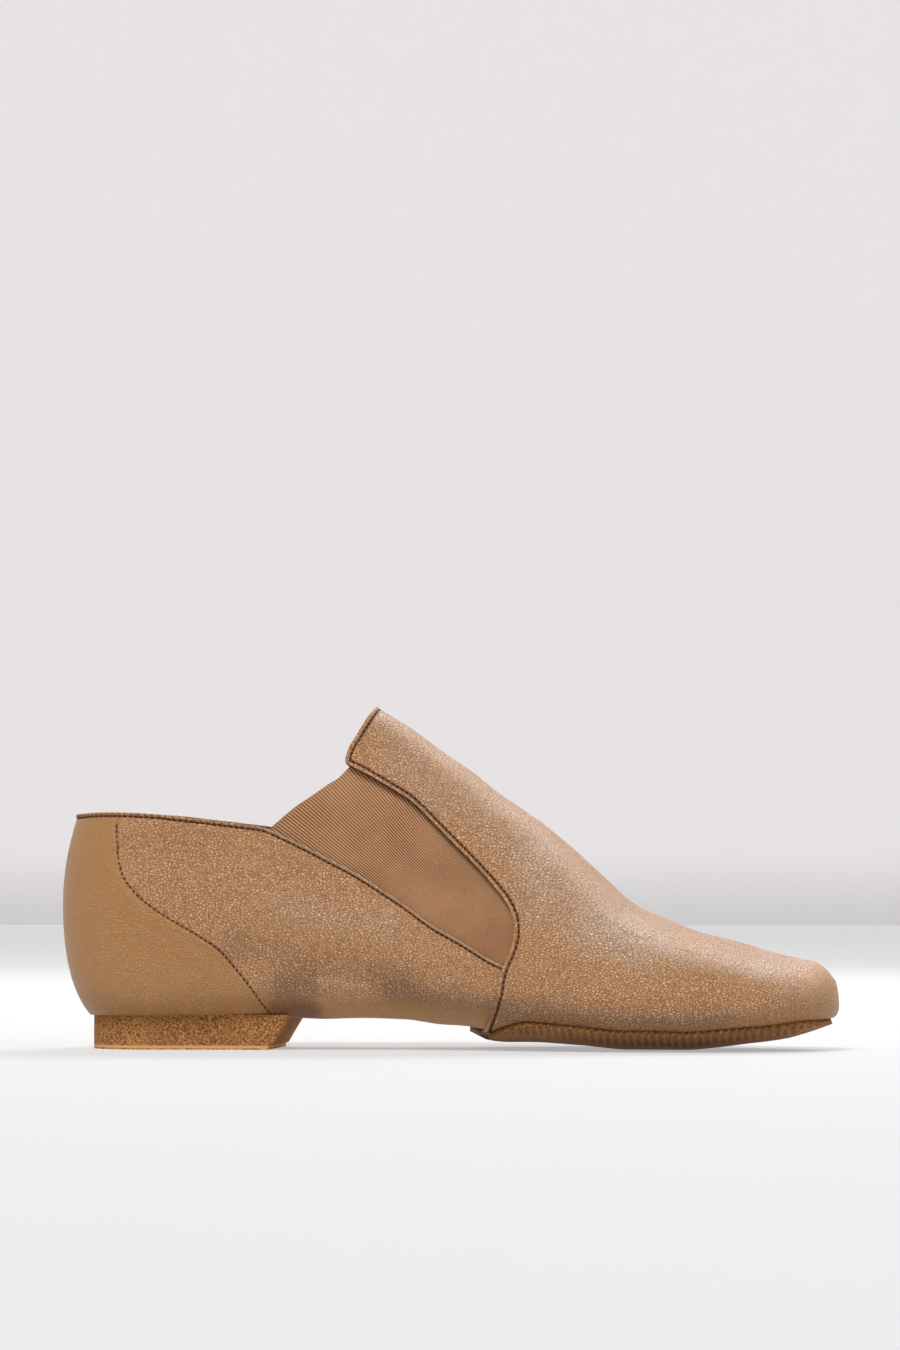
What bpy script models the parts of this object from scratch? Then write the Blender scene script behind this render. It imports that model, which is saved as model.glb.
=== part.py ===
"""A left jazz shoe with a split sole: toe towards +X, inner side towards -Y, floor at z = 0.

The shape comes from a last. Rings round the foot are worked out from the tables below, joined
into a closed form, and grown or shrunk along its normals to give each layer its own surface.
Sizes are in millimetres; MM turns them into metres when a mesh is made. Places along the shoe are
shares of LENGTH, widths in a table are shares of BALL_WIDTH and heights of INSTEP_HEIGHT.
"""

import bmesh
import bpy
import numpy as np

MM = 0.001

# Main sizes. The instep height is taken over the underside, at the throat.
LENGTH = 245.0
BALL_WIDTH = 87.0
INSTEP_HEIGHT = 98.0
HEEL_HEIGHT = 10.4
TOE_SPRING = 7.2

# Thicknesses and spaces
WALL = 1.2
VAMP_STEP = 0.6
GAP = 0.3
ELASTIC = 1.2
ELASTIC_LAP = 5.0
INSOLE = 2.0
PAD = 2.4
PAD_RIM = 1.5
LIFT = 1.0

# Heel: its length, how far it stands in from the upper's underside, how far the breast leans for
# each millimetre of height, and its share of the ring's half width
HEEL_LENGTH = 56.6
HEEL_INSET = 2.3
BREAST_LEAN = 0.6
HEEL_SHARE = 0.83

# Forefoot pad: its rear edge on each side, its front edge, and its share of the ring's half width
PAD_REAR_INNER = 0.559
PAD_REAR_OUTER = 0.522
PAD_FRONT = 0.995
PAD_SHARE = 0.885

# The pad's ends: how much of its length each one is rounded over and how much of its half width is
# lost there. It thins out from PAD_RIM_FROM of its half width to the rim, and over PAD_THIN of the
# shoe's length at each end.
PAD_REAR_ROUND = 0.14
PAD_REAR_LOSS = 0.5
PAD_FRONT_ROUND = 0.10
PAD_FRONT_LOSS = 0.7
PAD_RIM_FROM = 0.5
PAD_THIN = 0.057

# Insole: its two ends, its share of the ring's half width, and how its ends are rounded: over this
# much of the shoe's length, with this much of the half width lost
INSOLE_START = 0.018
INSOLE_END = 0.986
INSOLE_SHARE = 0.80
INSOLE_HEEL_ROUND = 0.02
INSOLE_HEEL_LOSS = 0.6
INSOLE_TOE_ROUND = 0.04
INSOLE_TOE_LOSS = 0.5

# Openings under the upper: centre, half length, and share of the ring's half width
FOREPART_OPENING = (0.751, 0.147, 0.55)
SEAT_OPENING = (0.159, 0.078, 0.50)

# The ends of the last: how far along the foot each one is rounded in plan, and the round's power
HEEL_ROUND = 0.114
TOE_ROUND = 0.171
HEEL_PLAN_POWER = 2.0
TOE_PLAN_POWER = 2.15

# Rings of the mesh
HEEL_RINGS = 8
MIDDLE_RINGS = 27
TOE_RINGS = 8
TOP_POINTS = 26
LOW_POINTS = 18

# Rows of the pad and the insole and points across them, points of the heel's plan, and points and
# power of the openings' plan
SHEET_ROWS = 24
SHEET_COLUMNS = 15
HEEL_POINTS = 12
OVAL_POINTS = 28
OVAL_POWER = 3.0

# How far a cutting shape reaches beyond the shoe, and past an edge that it has to clear
FAR = 60.0
PAST = 1.0


def table(names, *rows):
    """A table with named columns."""
    return dict(zip(names, np.array(rows, float).T))


# Half widths each side of the middle line, its place, and the ridge's lean towards the inner side.
# widest and drop are heights: where the ring is widest, and how far its round would run below the
# flat underside. round_top and round_low are the powers of the two rounds.
SECTIONS = table(
    ("at", "inner", "outer", "middle", "ridge", "widest", "drop", "round_top", "round_low"),
    (0.000, 0.322, 0.322, 0.000, 0.000, 0.224, 0.039, 2.20, 3.4),
    (0.122, 0.322, 0.328, 0.000, 0.000, 0.214, 0.039, 2.20, 3.4),
    (0.249, 0.310, 0.333, 0.006, 0.000, 0.214, 0.035, 2.10, 3.0),
    (0.400, 0.310, 0.362, 0.017, -0.011, 0.235, 0.027, 2.00, 2.5),
    (0.498, 0.345, 0.402, 0.017, -0.023, 0.204, 0.020, 1.95, 2.4),
    (0.600, 0.414, 0.471, 0.006, -0.046, 0.163, 0.012, 1.90, 2.5),
    (0.661, 0.454, 0.501, 0.000, -0.057, 0.143, 0.008, 1.90, 2.7),
    (0.718, 0.476, 0.494, -0.007, -0.057, 0.133, 0.006, 1.95, 2.8),
    (0.800, 0.462, 0.454, -0.021, -0.046, 0.122, 0.006, 2.00, 2.8),
    (0.882, 0.425, 0.391, -0.037, -0.023, 0.107, 0.006, 2.05, 2.7),
    (1.000, 0.379, 0.333, -0.057, 0.000, 0.077, 0.006, 2.10, 2.5),
)

# Height of the ridge over the underside. Behind the throat it is a form that the collar cuts off.
RIDGE = table(
    ("at", "height"),
    (0.000, 1.010),
    (0.245, 1.046),
    (0.347, 1.056),
    (0.376, 1.031),
    (0.404, 0.994),
    (0.449, 0.930),
    (0.498, 0.858),
    (0.551, 0.777),
    (0.604, 0.692),
    (0.657, 0.595),
    (0.706, 0.494),
    (0.747, 0.414),
    (0.773, 0.386),
    (0.824, 0.334),
    (0.876, 0.287),
    (0.927, 0.233),
    (0.953, 0.209),
    (0.970, 0.192),
    (0.980, 0.179),
    (0.990, 0.157),
    (1.000, 0.110),
)

# Height of the underside: shares of the heel height, of the pad's seat, and of the toe spring.
UNDERSIDE = table(
    ("at", "heel", "pad", "spring"),
    (0.000, 1.00, 0.00, 0.00),
    (0.270, 1.00, 0.00, 0.00),
    (0.310, 0.93, 0.00, 0.00),
    (0.345, 0.90, 0.01, 0.00),
    (0.384, 0.92, 0.03, 0.00),
    (0.449, 0.86, 0.09, 0.00),
    (0.490, 0.67, 0.25, 0.00),
    (0.527, 0.53, 0.50, 0.00),
    (0.571, 0.26, 0.86, 0.00),
    (0.629, 0.20, 1.00, 0.00),
    (0.678, 0.12, 1.00, 0.00),
    (0.740, 0.00, 0.99, 0.00),
    (0.812, 0.00, 0.99, 0.00),
    (0.849, 0.00, 1.00, 0.10),
    (0.886, 0.00, 1.00, 0.26),
    (0.918, 0.00, 1.00, 0.39),
    (0.955, 0.00, 1.00, 0.62),
    (1.000, 0.00, 1.00, 1.00),
)

# How the heel's back and the toe's nose stand in from their furthest points. depth is the most that
# each curve stands in and fade how far along the foot it is felt, shares of LENGTH; start and
# reach are heights; power shapes the curve.
END_CURVES = {
    "back_low": {"depth": 0.108, "start": 0.400, "reach": 0.470, "power": 2.6},
    "back_high": {"depth": 0.021, "start": 0.388, "reach": 0.265, "power": 1.7},
    "nose_low": {"depth": 0.008, "start": 0.036, "reach": 0.036, "power": 2.0},
    "nose_high": {"depth": 0.023, "start": 0.040, "reach": 0.160, "power": 1.6},
}
BACK_FADE = 0.245
NOSE_FADE = 0.080

# Outlines seen from the side: place along the foot, height over the underside.
TOPLINE = (
    (-0.049, 0.632), (0.024, 0.643), (0.069, 0.648), (0.127, 0.643), (0.179, 0.629), (0.230, 0.614),
    (0.273, 0.599),
)
QUARTER_EDGE = (
    (0.273, 0.599), (0.304, 0.572), (0.336, 0.537), (0.367, 0.495), (0.398, 0.452), (0.429, 0.405),
    (0.461, 0.357), (0.493, 0.313), (0.524, 0.276), (0.555, 0.242), (0.584, 0.211),
)
VAMP_EDGE = (
    (0.584, 0.211), (0.592, 0.256), (0.597, 0.298), (0.597, 0.347), (0.591, 0.392), (0.580, 0.434),
    (0.561, 0.486), (0.543, 0.524), (0.523, 0.565), (0.506, 0.603), (0.478, 0.665), (0.458, 0.702),
    (0.426, 0.746), (0.394, 0.789), (0.377, 0.809),
)
THROAT = (
    (0.377, 0.809), (0.375, 0.828), (0.379, 0.863), (0.387, 0.901), (0.398, 0.957), (0.407, 1.000),
    (0.426, 1.082),
)
GORE_TOP = (
    (0.266, 0.564), (0.280, 0.600), (0.309, 0.671), (0.332, 0.714), (0.353, 0.752), (0.366, 0.771),
    (0.378, 0.802), (0.394, 0.837),
)
SEAM = (
    (0.584, 0.211), (0.580, 0.178), (0.576, 0.125), (0.568, 0.071), (0.555, 0.018), (0.546, -0.082),
)


def smooth(source, name, at):
    """A column read between its rows, on a curve that never swings past them."""
    xs = source["at"]
    ys = source[name]
    step = np.diff(xs)
    slope = np.diff(ys) / step
    tangent = np.zeros(len(xs))
    tangent[0] = slope[0]
    tangent[-1] = slope[-1]
    for i in range(1, len(xs) - 1):
        if slope[i - 1] * slope[i] > 0:
            tangent[i] = 2 * slope[i - 1] * slope[i] / (slope[i - 1] + slope[i])
    at = np.clip(at, xs[0], xs[-1])
    i = np.clip(np.searchsorted(xs, at) - 1, 0, len(step) - 1)
    t = (at - xs[i]) / step[i]
    start = (1 + 2 * t) * (1 - t) ** 2 * ys[i] + t * (1 - t) ** 2 * step[i] * tangent[i]
    end = t * t * (3 - 2 * t) * ys[i + 1] + t * t * (t - 1) * step[i] * tangent[i + 1]
    return start + end


def round_in(t, power):
    """0 in the middle of a round, 1 where it closes."""
    t = np.clip(t, 0, 1)
    return 1 - (1 - t**power) ** (1 / power)


def underside(at):
    """Height over the floor of the last's underside."""
    seat = PAD + GAP + VAMP_STEP
    heel = smooth(UNDERSIDE, "heel", at) * HEEL_HEIGHT
    spring = smooth(UNDERSIDE, "spring", at) * TOE_SPRING
    return heel + smooth(UNDERSIDE, "pad", at) * seat + spring


def end_curve(name, height):
    """How far an end stands in at this height: a round, or a lean that goes on past its reach."""
    row = END_CURVES[name]
    away = (height - row["start"]) / row["reach"]
    if name == "back_high":
        return row["depth"] * np.clip(away, 0, None) ** row["power"]
    return row["depth"] * round_in(-away if name.endswith("low") else away, row["power"])


def last_points(at, turn):
    """Points of the last. turn goes once round the ring: from the outer side (0) over the ridge
    (0.25) and the inner side (0.5) to the underside (0.75)."""
    at, turn = np.broadcast_arrays(np.asarray(at, float), np.asarray(turn, float))
    across = np.cos(2 * np.pi * turn)
    up = np.sin(2 * np.pi * turn)
    power = np.where(up >= 0, smooth(SECTIONS, "round_top", at), smooth(SECTIONS, "round_low", at))
    reach = (np.abs(across) ** power + np.abs(up) ** power) ** (-1 / power)
    half = np.where(across >= 0, smooth(SECTIONS, "outer", at), smooth(SECTIONS, "inner", at))
    ends = 1 - round_in((HEEL_ROUND - at) / HEEL_ROUND, HEEL_PLAN_POWER)
    ends = ends * (1 - round_in((at - 1 + TOE_ROUND) / TOE_ROUND, TOE_PLAN_POWER))
    widest = smooth(SECTIONS, "widest", at)
    top = smooth(RIDGE, "height", at) - widest
    low = widest + smooth(SECTIONS, "drop", at)
    height = widest + reach * up * np.where(up >= 0, top, low)
    height = np.maximum(height, 0)
    lean = np.clip((height - widest) / top, 0, 1) ** 2
    y = smooth(SECTIONS, "middle", at) + half * ends * reach * across
    y = y + lean * smooth(SECTIONS, "ridge", at)
    back = end_curve("back_low", height) + end_curve("back_high", height)
    nose = end_curve("nose_low", height) + end_curve("nose_high", height)
    back = back * np.clip(1 - at / BACK_FADE, 0, 1) ** 2
    nose = nose * np.clip(1 - (1 - at) / NOSE_FADE, 0, 1) ** 2
    x = (at + back - nose) * (LENGTH - VAMP_STEP)
    return np.stack([x, y * BALL_WIDTH, underside(at) + height * INSTEP_HEIGHT], axis=-1)


def ring_places():
    """Places of the rings, close together at both ends."""
    heel = HEEL_ROUND * (1 - np.cos(np.linspace(0, np.pi / 2, HEEL_RINGS + 1)))
    toe = 1 - TOE_ROUND * (1 - np.sin(np.linspace(0, np.pi / 2, TOE_RINGS + 1)))
    middle = np.linspace(HEEL_ROUND, 1 - TOE_ROUND, MIDDLE_RINGS + 1)
    return np.concatenate([heel, middle[1:-1], toe])


def ring_turns():
    """Turns of the points of a ring, the same on both sides."""
    top = np.linspace(0, 0.5, TOP_POINTS, endpoint=False)
    low = np.linspace(0.5, 1, LOW_POINTS, endpoint=False)
    return np.concatenate([top, low])


def new_object(name, mesh):
    data = bpy.data.meshes.new(name)
    mesh.to_mesh(data)
    mesh.free()
    made = bpy.data.objects.new(name, data)
    bpy.context.scene.collection.objects.link(made)
    return made


def last_form(name, out):
    """The closed last, grown by out along its normals."""
    points = last_points(ring_places()[:, None], ring_turns()[None, :]) * MM
    mesh = bmesh.new()
    rings = [[mesh.verts.new(point) for point in ring] for ring in points]
    turns = ring_turns()
    count = len(turns)
    for i, (near, far) in enumerate(zip(rings, rings[1:])):
        if i >= len(rings) // 2:
            near, far = far, near
        for j in range(count):
            k = (j + 1) % count
            # The diagonal starts at the corner nearer to the ridge or the middle of the underside.
            first, other = (k, j) if turns[j] % 0.5 < 0.25 else (j, k)
            mesh.faces.new((near[first], near[other], far[other]))
            mesh.faces.new((near[first], far[other], far[first]))
    bmesh.ops.remove_doubles(mesh, verts=mesh.verts, dist=1e-6)
    bmesh.ops.dissolve_degenerate(mesh, edges=mesh.edges, dist=1e-6)
    bmesh.ops.recalc_face_normals(mesh, faces=mesh.faces)
    mesh.normal_update()
    for vert in mesh.verts:
        vert.co += vert.normal * (out * MM)
    return new_object(name, mesh)


def prism(name, low, high):
    """A closed solid between two outlines of as many points, given as lists of (x, y, z)."""
    mesh = bmesh.new()
    first = [mesh.verts.new(np.array(point) * MM) for point in low]
    second = [mesh.verts.new(np.array(point) * MM) for point in high]
    mesh.faces.new(first)
    mesh.faces.new(second[::-1])
    count = len(first)
    for j in range(count):
        k = (j + 1) % count
        mesh.faces.new((first[k], first[j], second[j], second[k]))
    bmesh.ops.recalc_face_normals(mesh, faces=mesh.faces)
    bmesh.ops.triangulate(mesh, faces=mesh.faces)
    return new_object(name, mesh)


def side_prism(name, outline, y_low, y_high):
    """A side outline (x, height over the underside) carried across the shoe."""
    flat = [(x, float(underside(x / LENGTH)) + height) for x, height in outline]
    return prism(name, [(x, y_low, z) for x, z in flat], [(x, y_high, z) for x, z in flat])


def plan_prism(name, outline, z_low, z_high):
    """A plan outline carried upwards."""
    return prism(name, [(x, y, z_low) for x, y in outline], [(x, y, z_high) for x, y in outline])


def drawn(line, parts=2):
    """A smooth curve in millimetres through the points of a side outline."""
    pts = np.array(line, float) * (LENGTH, INSTEP_HEIGHT)
    padded = np.vstack([2 * pts[0] - pts[1], pts, 2 * pts[-1] - pts[-2]])
    found = []
    for a, b, c, d in zip(padded, padded[1:], padded[2:], padded[3:]):
        for t in np.arange(parts) / parts:
            near = 2 * b + (c - a) * t + (2 * a - 5 * b + 4 * c - d) * t**2
            found.append(0.5 * (near + (3 * b - a - 3 * c + d) * t**3))
    found.append(pts[-1])
    return [tuple(point) for point in found]


def shifted(line, distance):
    """A line moved sideways: to its right for a distance over 0."""
    pts = np.array(line, float)
    along = np.gradient(pts, axis=0)
    along = along / np.linalg.norm(along, axis=1)[:, None]
    return [tuple(point) for point in pts + distance * np.stack([along[:, 1], -along[:, 0]], axis=1)]


def drop_crumbs(data):
    """Takes away the slivers that a cut leaves beside the main body."""
    mesh = bmesh.new()
    mesh.from_mesh(data)
    left = set(mesh.faces)
    bodies = []
    while left:
        body = [left.pop()]
        for face in body:
            for edge in face.edges:
                for near in edge.link_faces if len(edge.link_faces) == 2 else ():
                    if near in left:
                        left.remove(near)
                        body.append(near)
        bodies.append(body)
    bodies.sort(key=len)
    for body in bodies[:-1]:
        bmesh.ops.delete(mesh, geom=body, context="FACES")
    mesh.to_mesh(data)
    mesh.free()


def combine(target, other, how):
    """A Boolean, made at once; the other object goes."""
    modifier = target.modifiers.new("cut", "BOOLEAN")
    modifier.operation = how
    modifier.solver = "EXACT"
    modifier.use_self = True
    modifier.object = other
    bpy.context.view_layer.update()
    graph = bpy.context.evaluated_depsgraph_get()
    made = bpy.data.meshes.new_from_object(target.evaluated_get(graph))
    target.modifiers.clear()
    target.data = made
    bpy.data.objects.remove(other)
    return target


def outer_form(name, out):
    """The outside of the upper, grown by out: the last, with the vamp a step higher."""
    base = last_form(name, out)
    vamp = last_form("vamp_form", VAMP_STEP + out)
    seam = drawn(SEAM)
    edge = drawn(VAMP_EDGE)
    rear = edge[-1][0] - 6 * PAST
    above = INSTEP_HEIGHT + FAR
    ahead = LENGTH + FAR
    outline = shifted(seam[::-1], -out) + shifted(edge[1:], -PAST)
    outline += [(rear, edge[-1][1] + 4 * PAST), (rear, above)]
    outline += [(ahead, above), (ahead, -FAR), (seam[-1][0], -FAR)]
    combine(vamp, side_prism("vamp_side", outline, -BALL_WIDTH, BALL_WIDTH), "INTERSECT")
    return combine(base, vamp, "UNION")


def plan_oval(centre, half_length, share):
    """A plan outline round a centre, a share of the ring's half width each side."""
    found = []
    for angle in np.linspace(0, 2 * np.pi, OVAL_POINTS, endpoint=False):
        c, s = np.cos(angle), np.sin(angle)
        reach = (abs(c) ** OVAL_POWER + abs(s) ** OVAL_POWER) ** (-1 / OVAL_POWER)
        at = centre + half_length * reach * c
        half = smooth(SECTIONS, "outer" if s >= 0 else "inner", at) * share * reach * s
        found.append((at * LENGTH, float(smooth(SECTIONS, "middle", at) + half) * BALL_WIDTH))
    return found


def make_upper():
    upper = outer_form("upper", 0.0)
    combine(upper, last_form("inside", -WALL), "DIFFERENCE")
    throat = drawn(THROAT)
    collar = drawn(TOPLINE) + drawn(QUARTER_EDGE)[1:] + drawn(VAMP_EDGE)[1:] + throat[1:]
    above = INSTEP_HEIGHT + FAR
    collar = collar + [(throat[-1][0], above), (collar[0][0], above)]
    combine(upper, side_prism("collar", collar, -BALL_WIDTH, BALL_WIDTH), "DIFFERENCE")
    for centre, half_length, share in (FOREPART_OPENING, SEAT_OPENING):
        top = float(underside(centre)) + WALL + 4 * PAST
        hole = plan_prism("hole", plan_oval(centre, half_length, share), -FAR, top)
        combine(upper, hole, "DIFFERENCE")
    return upper


def make_gore(name, side):
    """The elastic panel behind the edges of quarter and vamp; side is -1 inner, 1 outer."""
    gore = last_form(name, -WALL - GAP)
    vamp_side = shifted(drawn(VAMP_EDGE)[::-1], -ELASTIC_LAP)
    quarter_side = shifted(drawn(QUARTER_EDGE)[::-1], -ELASTIC_LAP)
    outline = drawn(GORE_TOP) + vamp_side[1:-2] + quarter_side[2:-2]
    y_low, y_high = sorted((side * ELASTIC_LAP, side * BALL_WIDTH))
    combine(gore, side_prism("panel", outline, y_low, y_high), "INTERSECT")
    return combine(gore, last_form("under", -WALL - GAP - ELASTIC), "DIFFERENCE")


def sheet(name, inner, outer, shares, low, high):
    """A closed sheet along the underside. inner and outer are the places of its rows on each side
    and shares their shares of the half width; low and high give the points of its two faces."""
    across = np.linspace(-1, 1, SHEET_COLUMNS)
    rows_low = []
    rows_high = []
    for near_side, far_side, share in zip(inner, outer, shares):
        at = near_side + (far_side - near_side) * (across + 1) / 2
        rows_low.append(low(at, across * share))
        rows_high.append(high(at, across * share))
    mesh = bmesh.new()
    grids = []
    for rows in (rows_low, rows_high):
        grids.append([[mesh.verts.new(point * MM) for point in row] for row in rows])
    lower, upper = grids
    for grid, turned in ((lower, False), (upper, True)):
        for near, far in zip(grid, grid[1:]):
            for j in range(len(across) - 1):
                face = (near[j], near[j + 1], far[j + 1], far[j])
                mesh.faces.new(face[::-1] if turned else face)
    for near, far, near_up, far_up in zip(lower, lower[1:], upper, upper[1:]):
        mesh.faces.new((near[0], far[0], far_up[0], near_up[0]))
        mesh.faces.new((far[-1], near[-1], near_up[-1], far_up[-1]))
    for j in range(len(across) - 1):
        mesh.faces.new((lower[0][j + 1], lower[0][j], upper[0][j], upper[0][j + 1]))
        mesh.faces.new((lower[-1][j], lower[-1][j + 1], upper[-1][j + 1], upper[-1][j]))
    bmesh.ops.recalc_face_normals(mesh, faces=mesh.faces)
    bmesh.ops.triangulate(mesh, faces=mesh.faces)
    return new_object(name, mesh)


def low_point(at, share, out):
    """A point of the underside at a share of the half width (-1 inner, 1 outer), out below it."""
    across = np.clip(np.abs(share), 0, 0.999)
    power = smooth(SECTIONS, "round_low", at)
    fall = (1 - across**power) ** (1 / power)
    turn = np.arctan2(fall, across) / (2 * np.pi)
    turn = np.where(share >= 0, 1 - turn, 0.5 + turn)
    here = last_points(at, turn)
    forward = last_points(at + 0.0002, turn) - last_points(at - 0.0002, turn)
    round_it = last_points(at, turn + 0.002) - last_points(at, turn - 0.002)
    normal = np.cross(round_it, forward)
    normal = normal / np.linalg.norm(normal, axis=-1)[..., None]
    return here + np.broadcast_to(out, across.shape)[..., None] * normal


def make_pad():
    t = np.linspace(0, 1, SHEET_ROWS)
    t = 0.4 * t + 0.3 * (1 - np.cos(np.pi * t))
    inner = PAD_REAR_INNER + (PAD_FRONT - PAD_REAR_INNER) * t
    outer = PAD_REAR_OUTER + (PAD_FRONT - PAD_REAR_OUTER) * t
    shares = PAD_SHARE * (1 - PAD_REAR_LOSS * round_in(1 - t / PAD_REAR_ROUND, 2.0))
    shares = shares * (1 - PAD_FRONT_LOSS * round_in(1 - (1 - t) / PAD_FRONT_ROUND, 2.0))

    def under(at, share):
        rim = round_in((np.abs(share) / PAD_SHARE - PAD_RIM_FROM) / (1 - PAD_RIM_FROM), 2.0)
        ends = np.clip(np.minimum(at - PAD_REAR_OUTER, PAD_FRONT - at) / PAD_THIN, 0, 1)
        thick = PAD_RIM + (PAD - PAD_RIM) * (1 - rim) * ends
        point = low_point(at, share, VAMP_STEP + GAP + thick)
        point[..., 2] = np.maximum(point[..., 2], 0)
        return point

    def over(at, share):
        return low_point(at, share, -2 * PAST)

    pad = sheet("outsole_forepart", inner, outer, shares, under, over)
    return combine(pad, outer_form("carver", GAP), "DIFFERENCE")


def make_insole():
    t = np.linspace(0, 1, SHEET_ROWS)
    at = INSOLE_START + (INSOLE_END - INSOLE_START) * (1 - np.cos(np.pi * t)) / 2
    heel_end = 1 - INSOLE_HEEL_LOSS * round_in(1 - (at - INSOLE_START) / INSOLE_HEEL_ROUND, 2.0)
    toe_end = 1 - INSOLE_TOE_LOSS * round_in(1 - (INSOLE_END - at) / INSOLE_TOE_ROUND, 2.0)
    shares = INSOLE_SHARE * heel_end * toe_end

    def under(place, share):
        return low_point(place, share, 0.0)

    def over(place, share):
        return low_point(place, share, -WALL - GAP - INSOLE)

    insole = sheet("insole", at, at, shares, under, over)
    return combine(insole, last_form("inside", -WALL - GAP), "INTERSECT")


def heel_back():
    """The rearmost point of the upper's underside, where the heel's length starts."""
    return float(last_points(0.0, 0.75)[0]) + HEEL_INSET


def heel_outline(front):
    """Plan of the heel: it follows the upper's underside round the back and is straight in front."""
    t = np.linspace(0, 1, HEEL_POINTS)
    at = (front + HEEL_INSET) / (LENGTH - VAMP_STEP) * t**2
    inner = low_point(at, np.full(HEEL_POINTS, -HEEL_SHARE), 0.0)[::-1, :2]
    outer = low_point(at, np.full(HEEL_POINTS, HEEL_SHARE), 0.0)[1:, :2]
    line = shifted(np.vstack([inner, outer]), HEEL_INSET)
    return [(front, line[0][1])] + line[1:-1] + [(front, line[-1][1])]


def make_heel():
    front = heel_back() + HEEL_LENGTH
    lift = plan_prism("heel_lift", heel_outline(front), 0.0, LIFT)
    foot = LIFT + GAP
    tall = HEEL_HEIGHT + 6 * PAST
    low = [(x, y, foot) for x, y in heel_outline(front + BREAST_LEAN * foot)]
    high = [(x, y, tall) for x, y in heel_outline(front + BREAST_LEAN * tall)]
    block = prism("heel_block", low, high)
    combine(block, last_form("carver", GAP), "DIFFERENCE")
    return block, lift


def colour(made, value, roughness):
    material = bpy.data.materials.new(made.name)
    material.use_nodes = True
    shader = material.node_tree.nodes["Principled BSDF"]
    shader.inputs["Base Color"].default_value = (*value, 1.0)
    shader.inputs["Roughness"].default_value = roughness
    made.data.materials.clear()
    made.data.materials.append(material)


def main():
    for obj in list(bpy.data.objects):
        bpy.data.objects.remove(obj)
    upper = make_upper()
    gore_medial = make_gore("gore_medial", -1)
    gore_lateral = make_gore("gore_lateral", 1)
    insole = make_insole()
    pad = make_pad()
    block, lift = make_heel()
    colour(upper, (0.42, 0.24, 0.13), 0.5)
    colour(gore_medial, (0.34, 0.17, 0.085), 0.8)
    colour(gore_lateral, (0.34, 0.17, 0.085), 0.8)
    colour(insole, (0.40, 0.25, 0.15), 0.8)
    colour(pad, (0.085, 0.03, 0.012), 0.6)
    colour(block, (0.27, 0.125, 0.055), 0.9)
    colour(lift, (0.16, 0.08, 0.04), 0.8)
    made = (upper, gore_medial, gore_lateral, insole, pad, block, lift)
    for obj in made:
        drop_crumbs(obj.data)
    # The frame's origin is the middle of the shoe's box, on the floor.
    corners = np.array([vert.co for obj in made for vert in obj.data.vertices])
    middle = (corners.min(axis=0) + corners.max(axis=0)) / 2
    for obj in made:
        for vert in obj.data.vertices:
            vert.co.x -= middle[0]
            vert.co.y -= middle[1]


main()
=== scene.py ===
"""Looks of the jazz shoe: leather quarters and vamp, elastic gores, stitching, sock, sole and heel."""

import math

import bpy
import numpy as np
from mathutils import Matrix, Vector


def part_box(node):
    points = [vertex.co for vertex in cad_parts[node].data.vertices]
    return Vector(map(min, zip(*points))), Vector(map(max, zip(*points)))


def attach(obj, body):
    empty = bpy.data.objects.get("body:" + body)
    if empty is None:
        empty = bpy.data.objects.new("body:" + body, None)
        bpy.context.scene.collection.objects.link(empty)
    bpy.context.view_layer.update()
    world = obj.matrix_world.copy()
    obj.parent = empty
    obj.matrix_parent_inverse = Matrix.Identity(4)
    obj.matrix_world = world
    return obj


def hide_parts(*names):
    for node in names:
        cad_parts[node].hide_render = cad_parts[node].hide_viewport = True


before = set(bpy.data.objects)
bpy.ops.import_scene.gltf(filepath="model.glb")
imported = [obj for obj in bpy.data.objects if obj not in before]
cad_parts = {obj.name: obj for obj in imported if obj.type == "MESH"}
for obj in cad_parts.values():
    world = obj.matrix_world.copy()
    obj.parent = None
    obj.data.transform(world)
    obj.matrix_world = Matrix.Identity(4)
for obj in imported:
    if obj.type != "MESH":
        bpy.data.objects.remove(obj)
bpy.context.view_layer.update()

MM = 0.001

# The shoe's own sizes in millimetres, as in the CAD part
LENGTH = 245.0
BALL_WIDTH = 87.0
INSTEP_HEIGHT = 98.0
HEEL_HEIGHT = 10.4
TOE_SPRING = 7.2
WALL = 1.2
VAMP_STEP = 0.6
GAP = 0.3
ELASTIC_LAP = 5.0
INSOLE = 2.0
PAD = 2.4
PAD_RIM = 1.5
LIFT = 1.0
HEEL_LENGTH = 56.6
HEEL_INSET = 2.3
BREAST_LEAN = 0.6
HEEL_SHARE = 0.83
PAD_REAR_INNER = 0.559
PAD_REAR_OUTER = 0.522
PAD_FRONT = 0.995
PAD_SHARE = 0.885
PAD_REAR_ROUND = 0.14
PAD_REAR_LOSS = 0.5
PAD_FRONT_ROUND = 0.10
PAD_FRONT_LOSS = 0.7
PAD_RIM_FROM = 0.5
PAD_THIN = 0.057
INSOLE_START = 0.018
INSOLE_END = 0.986
INSOLE_SHARE = 0.80
HEEL_ROUND = 0.114
TOE_ROUND = 0.171

# The last is rounded a little where its sides meet the flat underside, and it is read this close
# to its two ends
SOLE_EDGE_ROUND = 0.010
END_CLEAR = 5e-6
HEEL_PLAN_POWER = 2.0
TOE_PLAN_POWER = 2.15

# Turns of a ring at the ridge and at the underside
RIDGE_TURN = 0.25
UNDER_TURN = 0.75


def table(names, *rows):
    """A table with named columns."""
    return dict(zip(names, np.array(rows, float).T))


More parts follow.
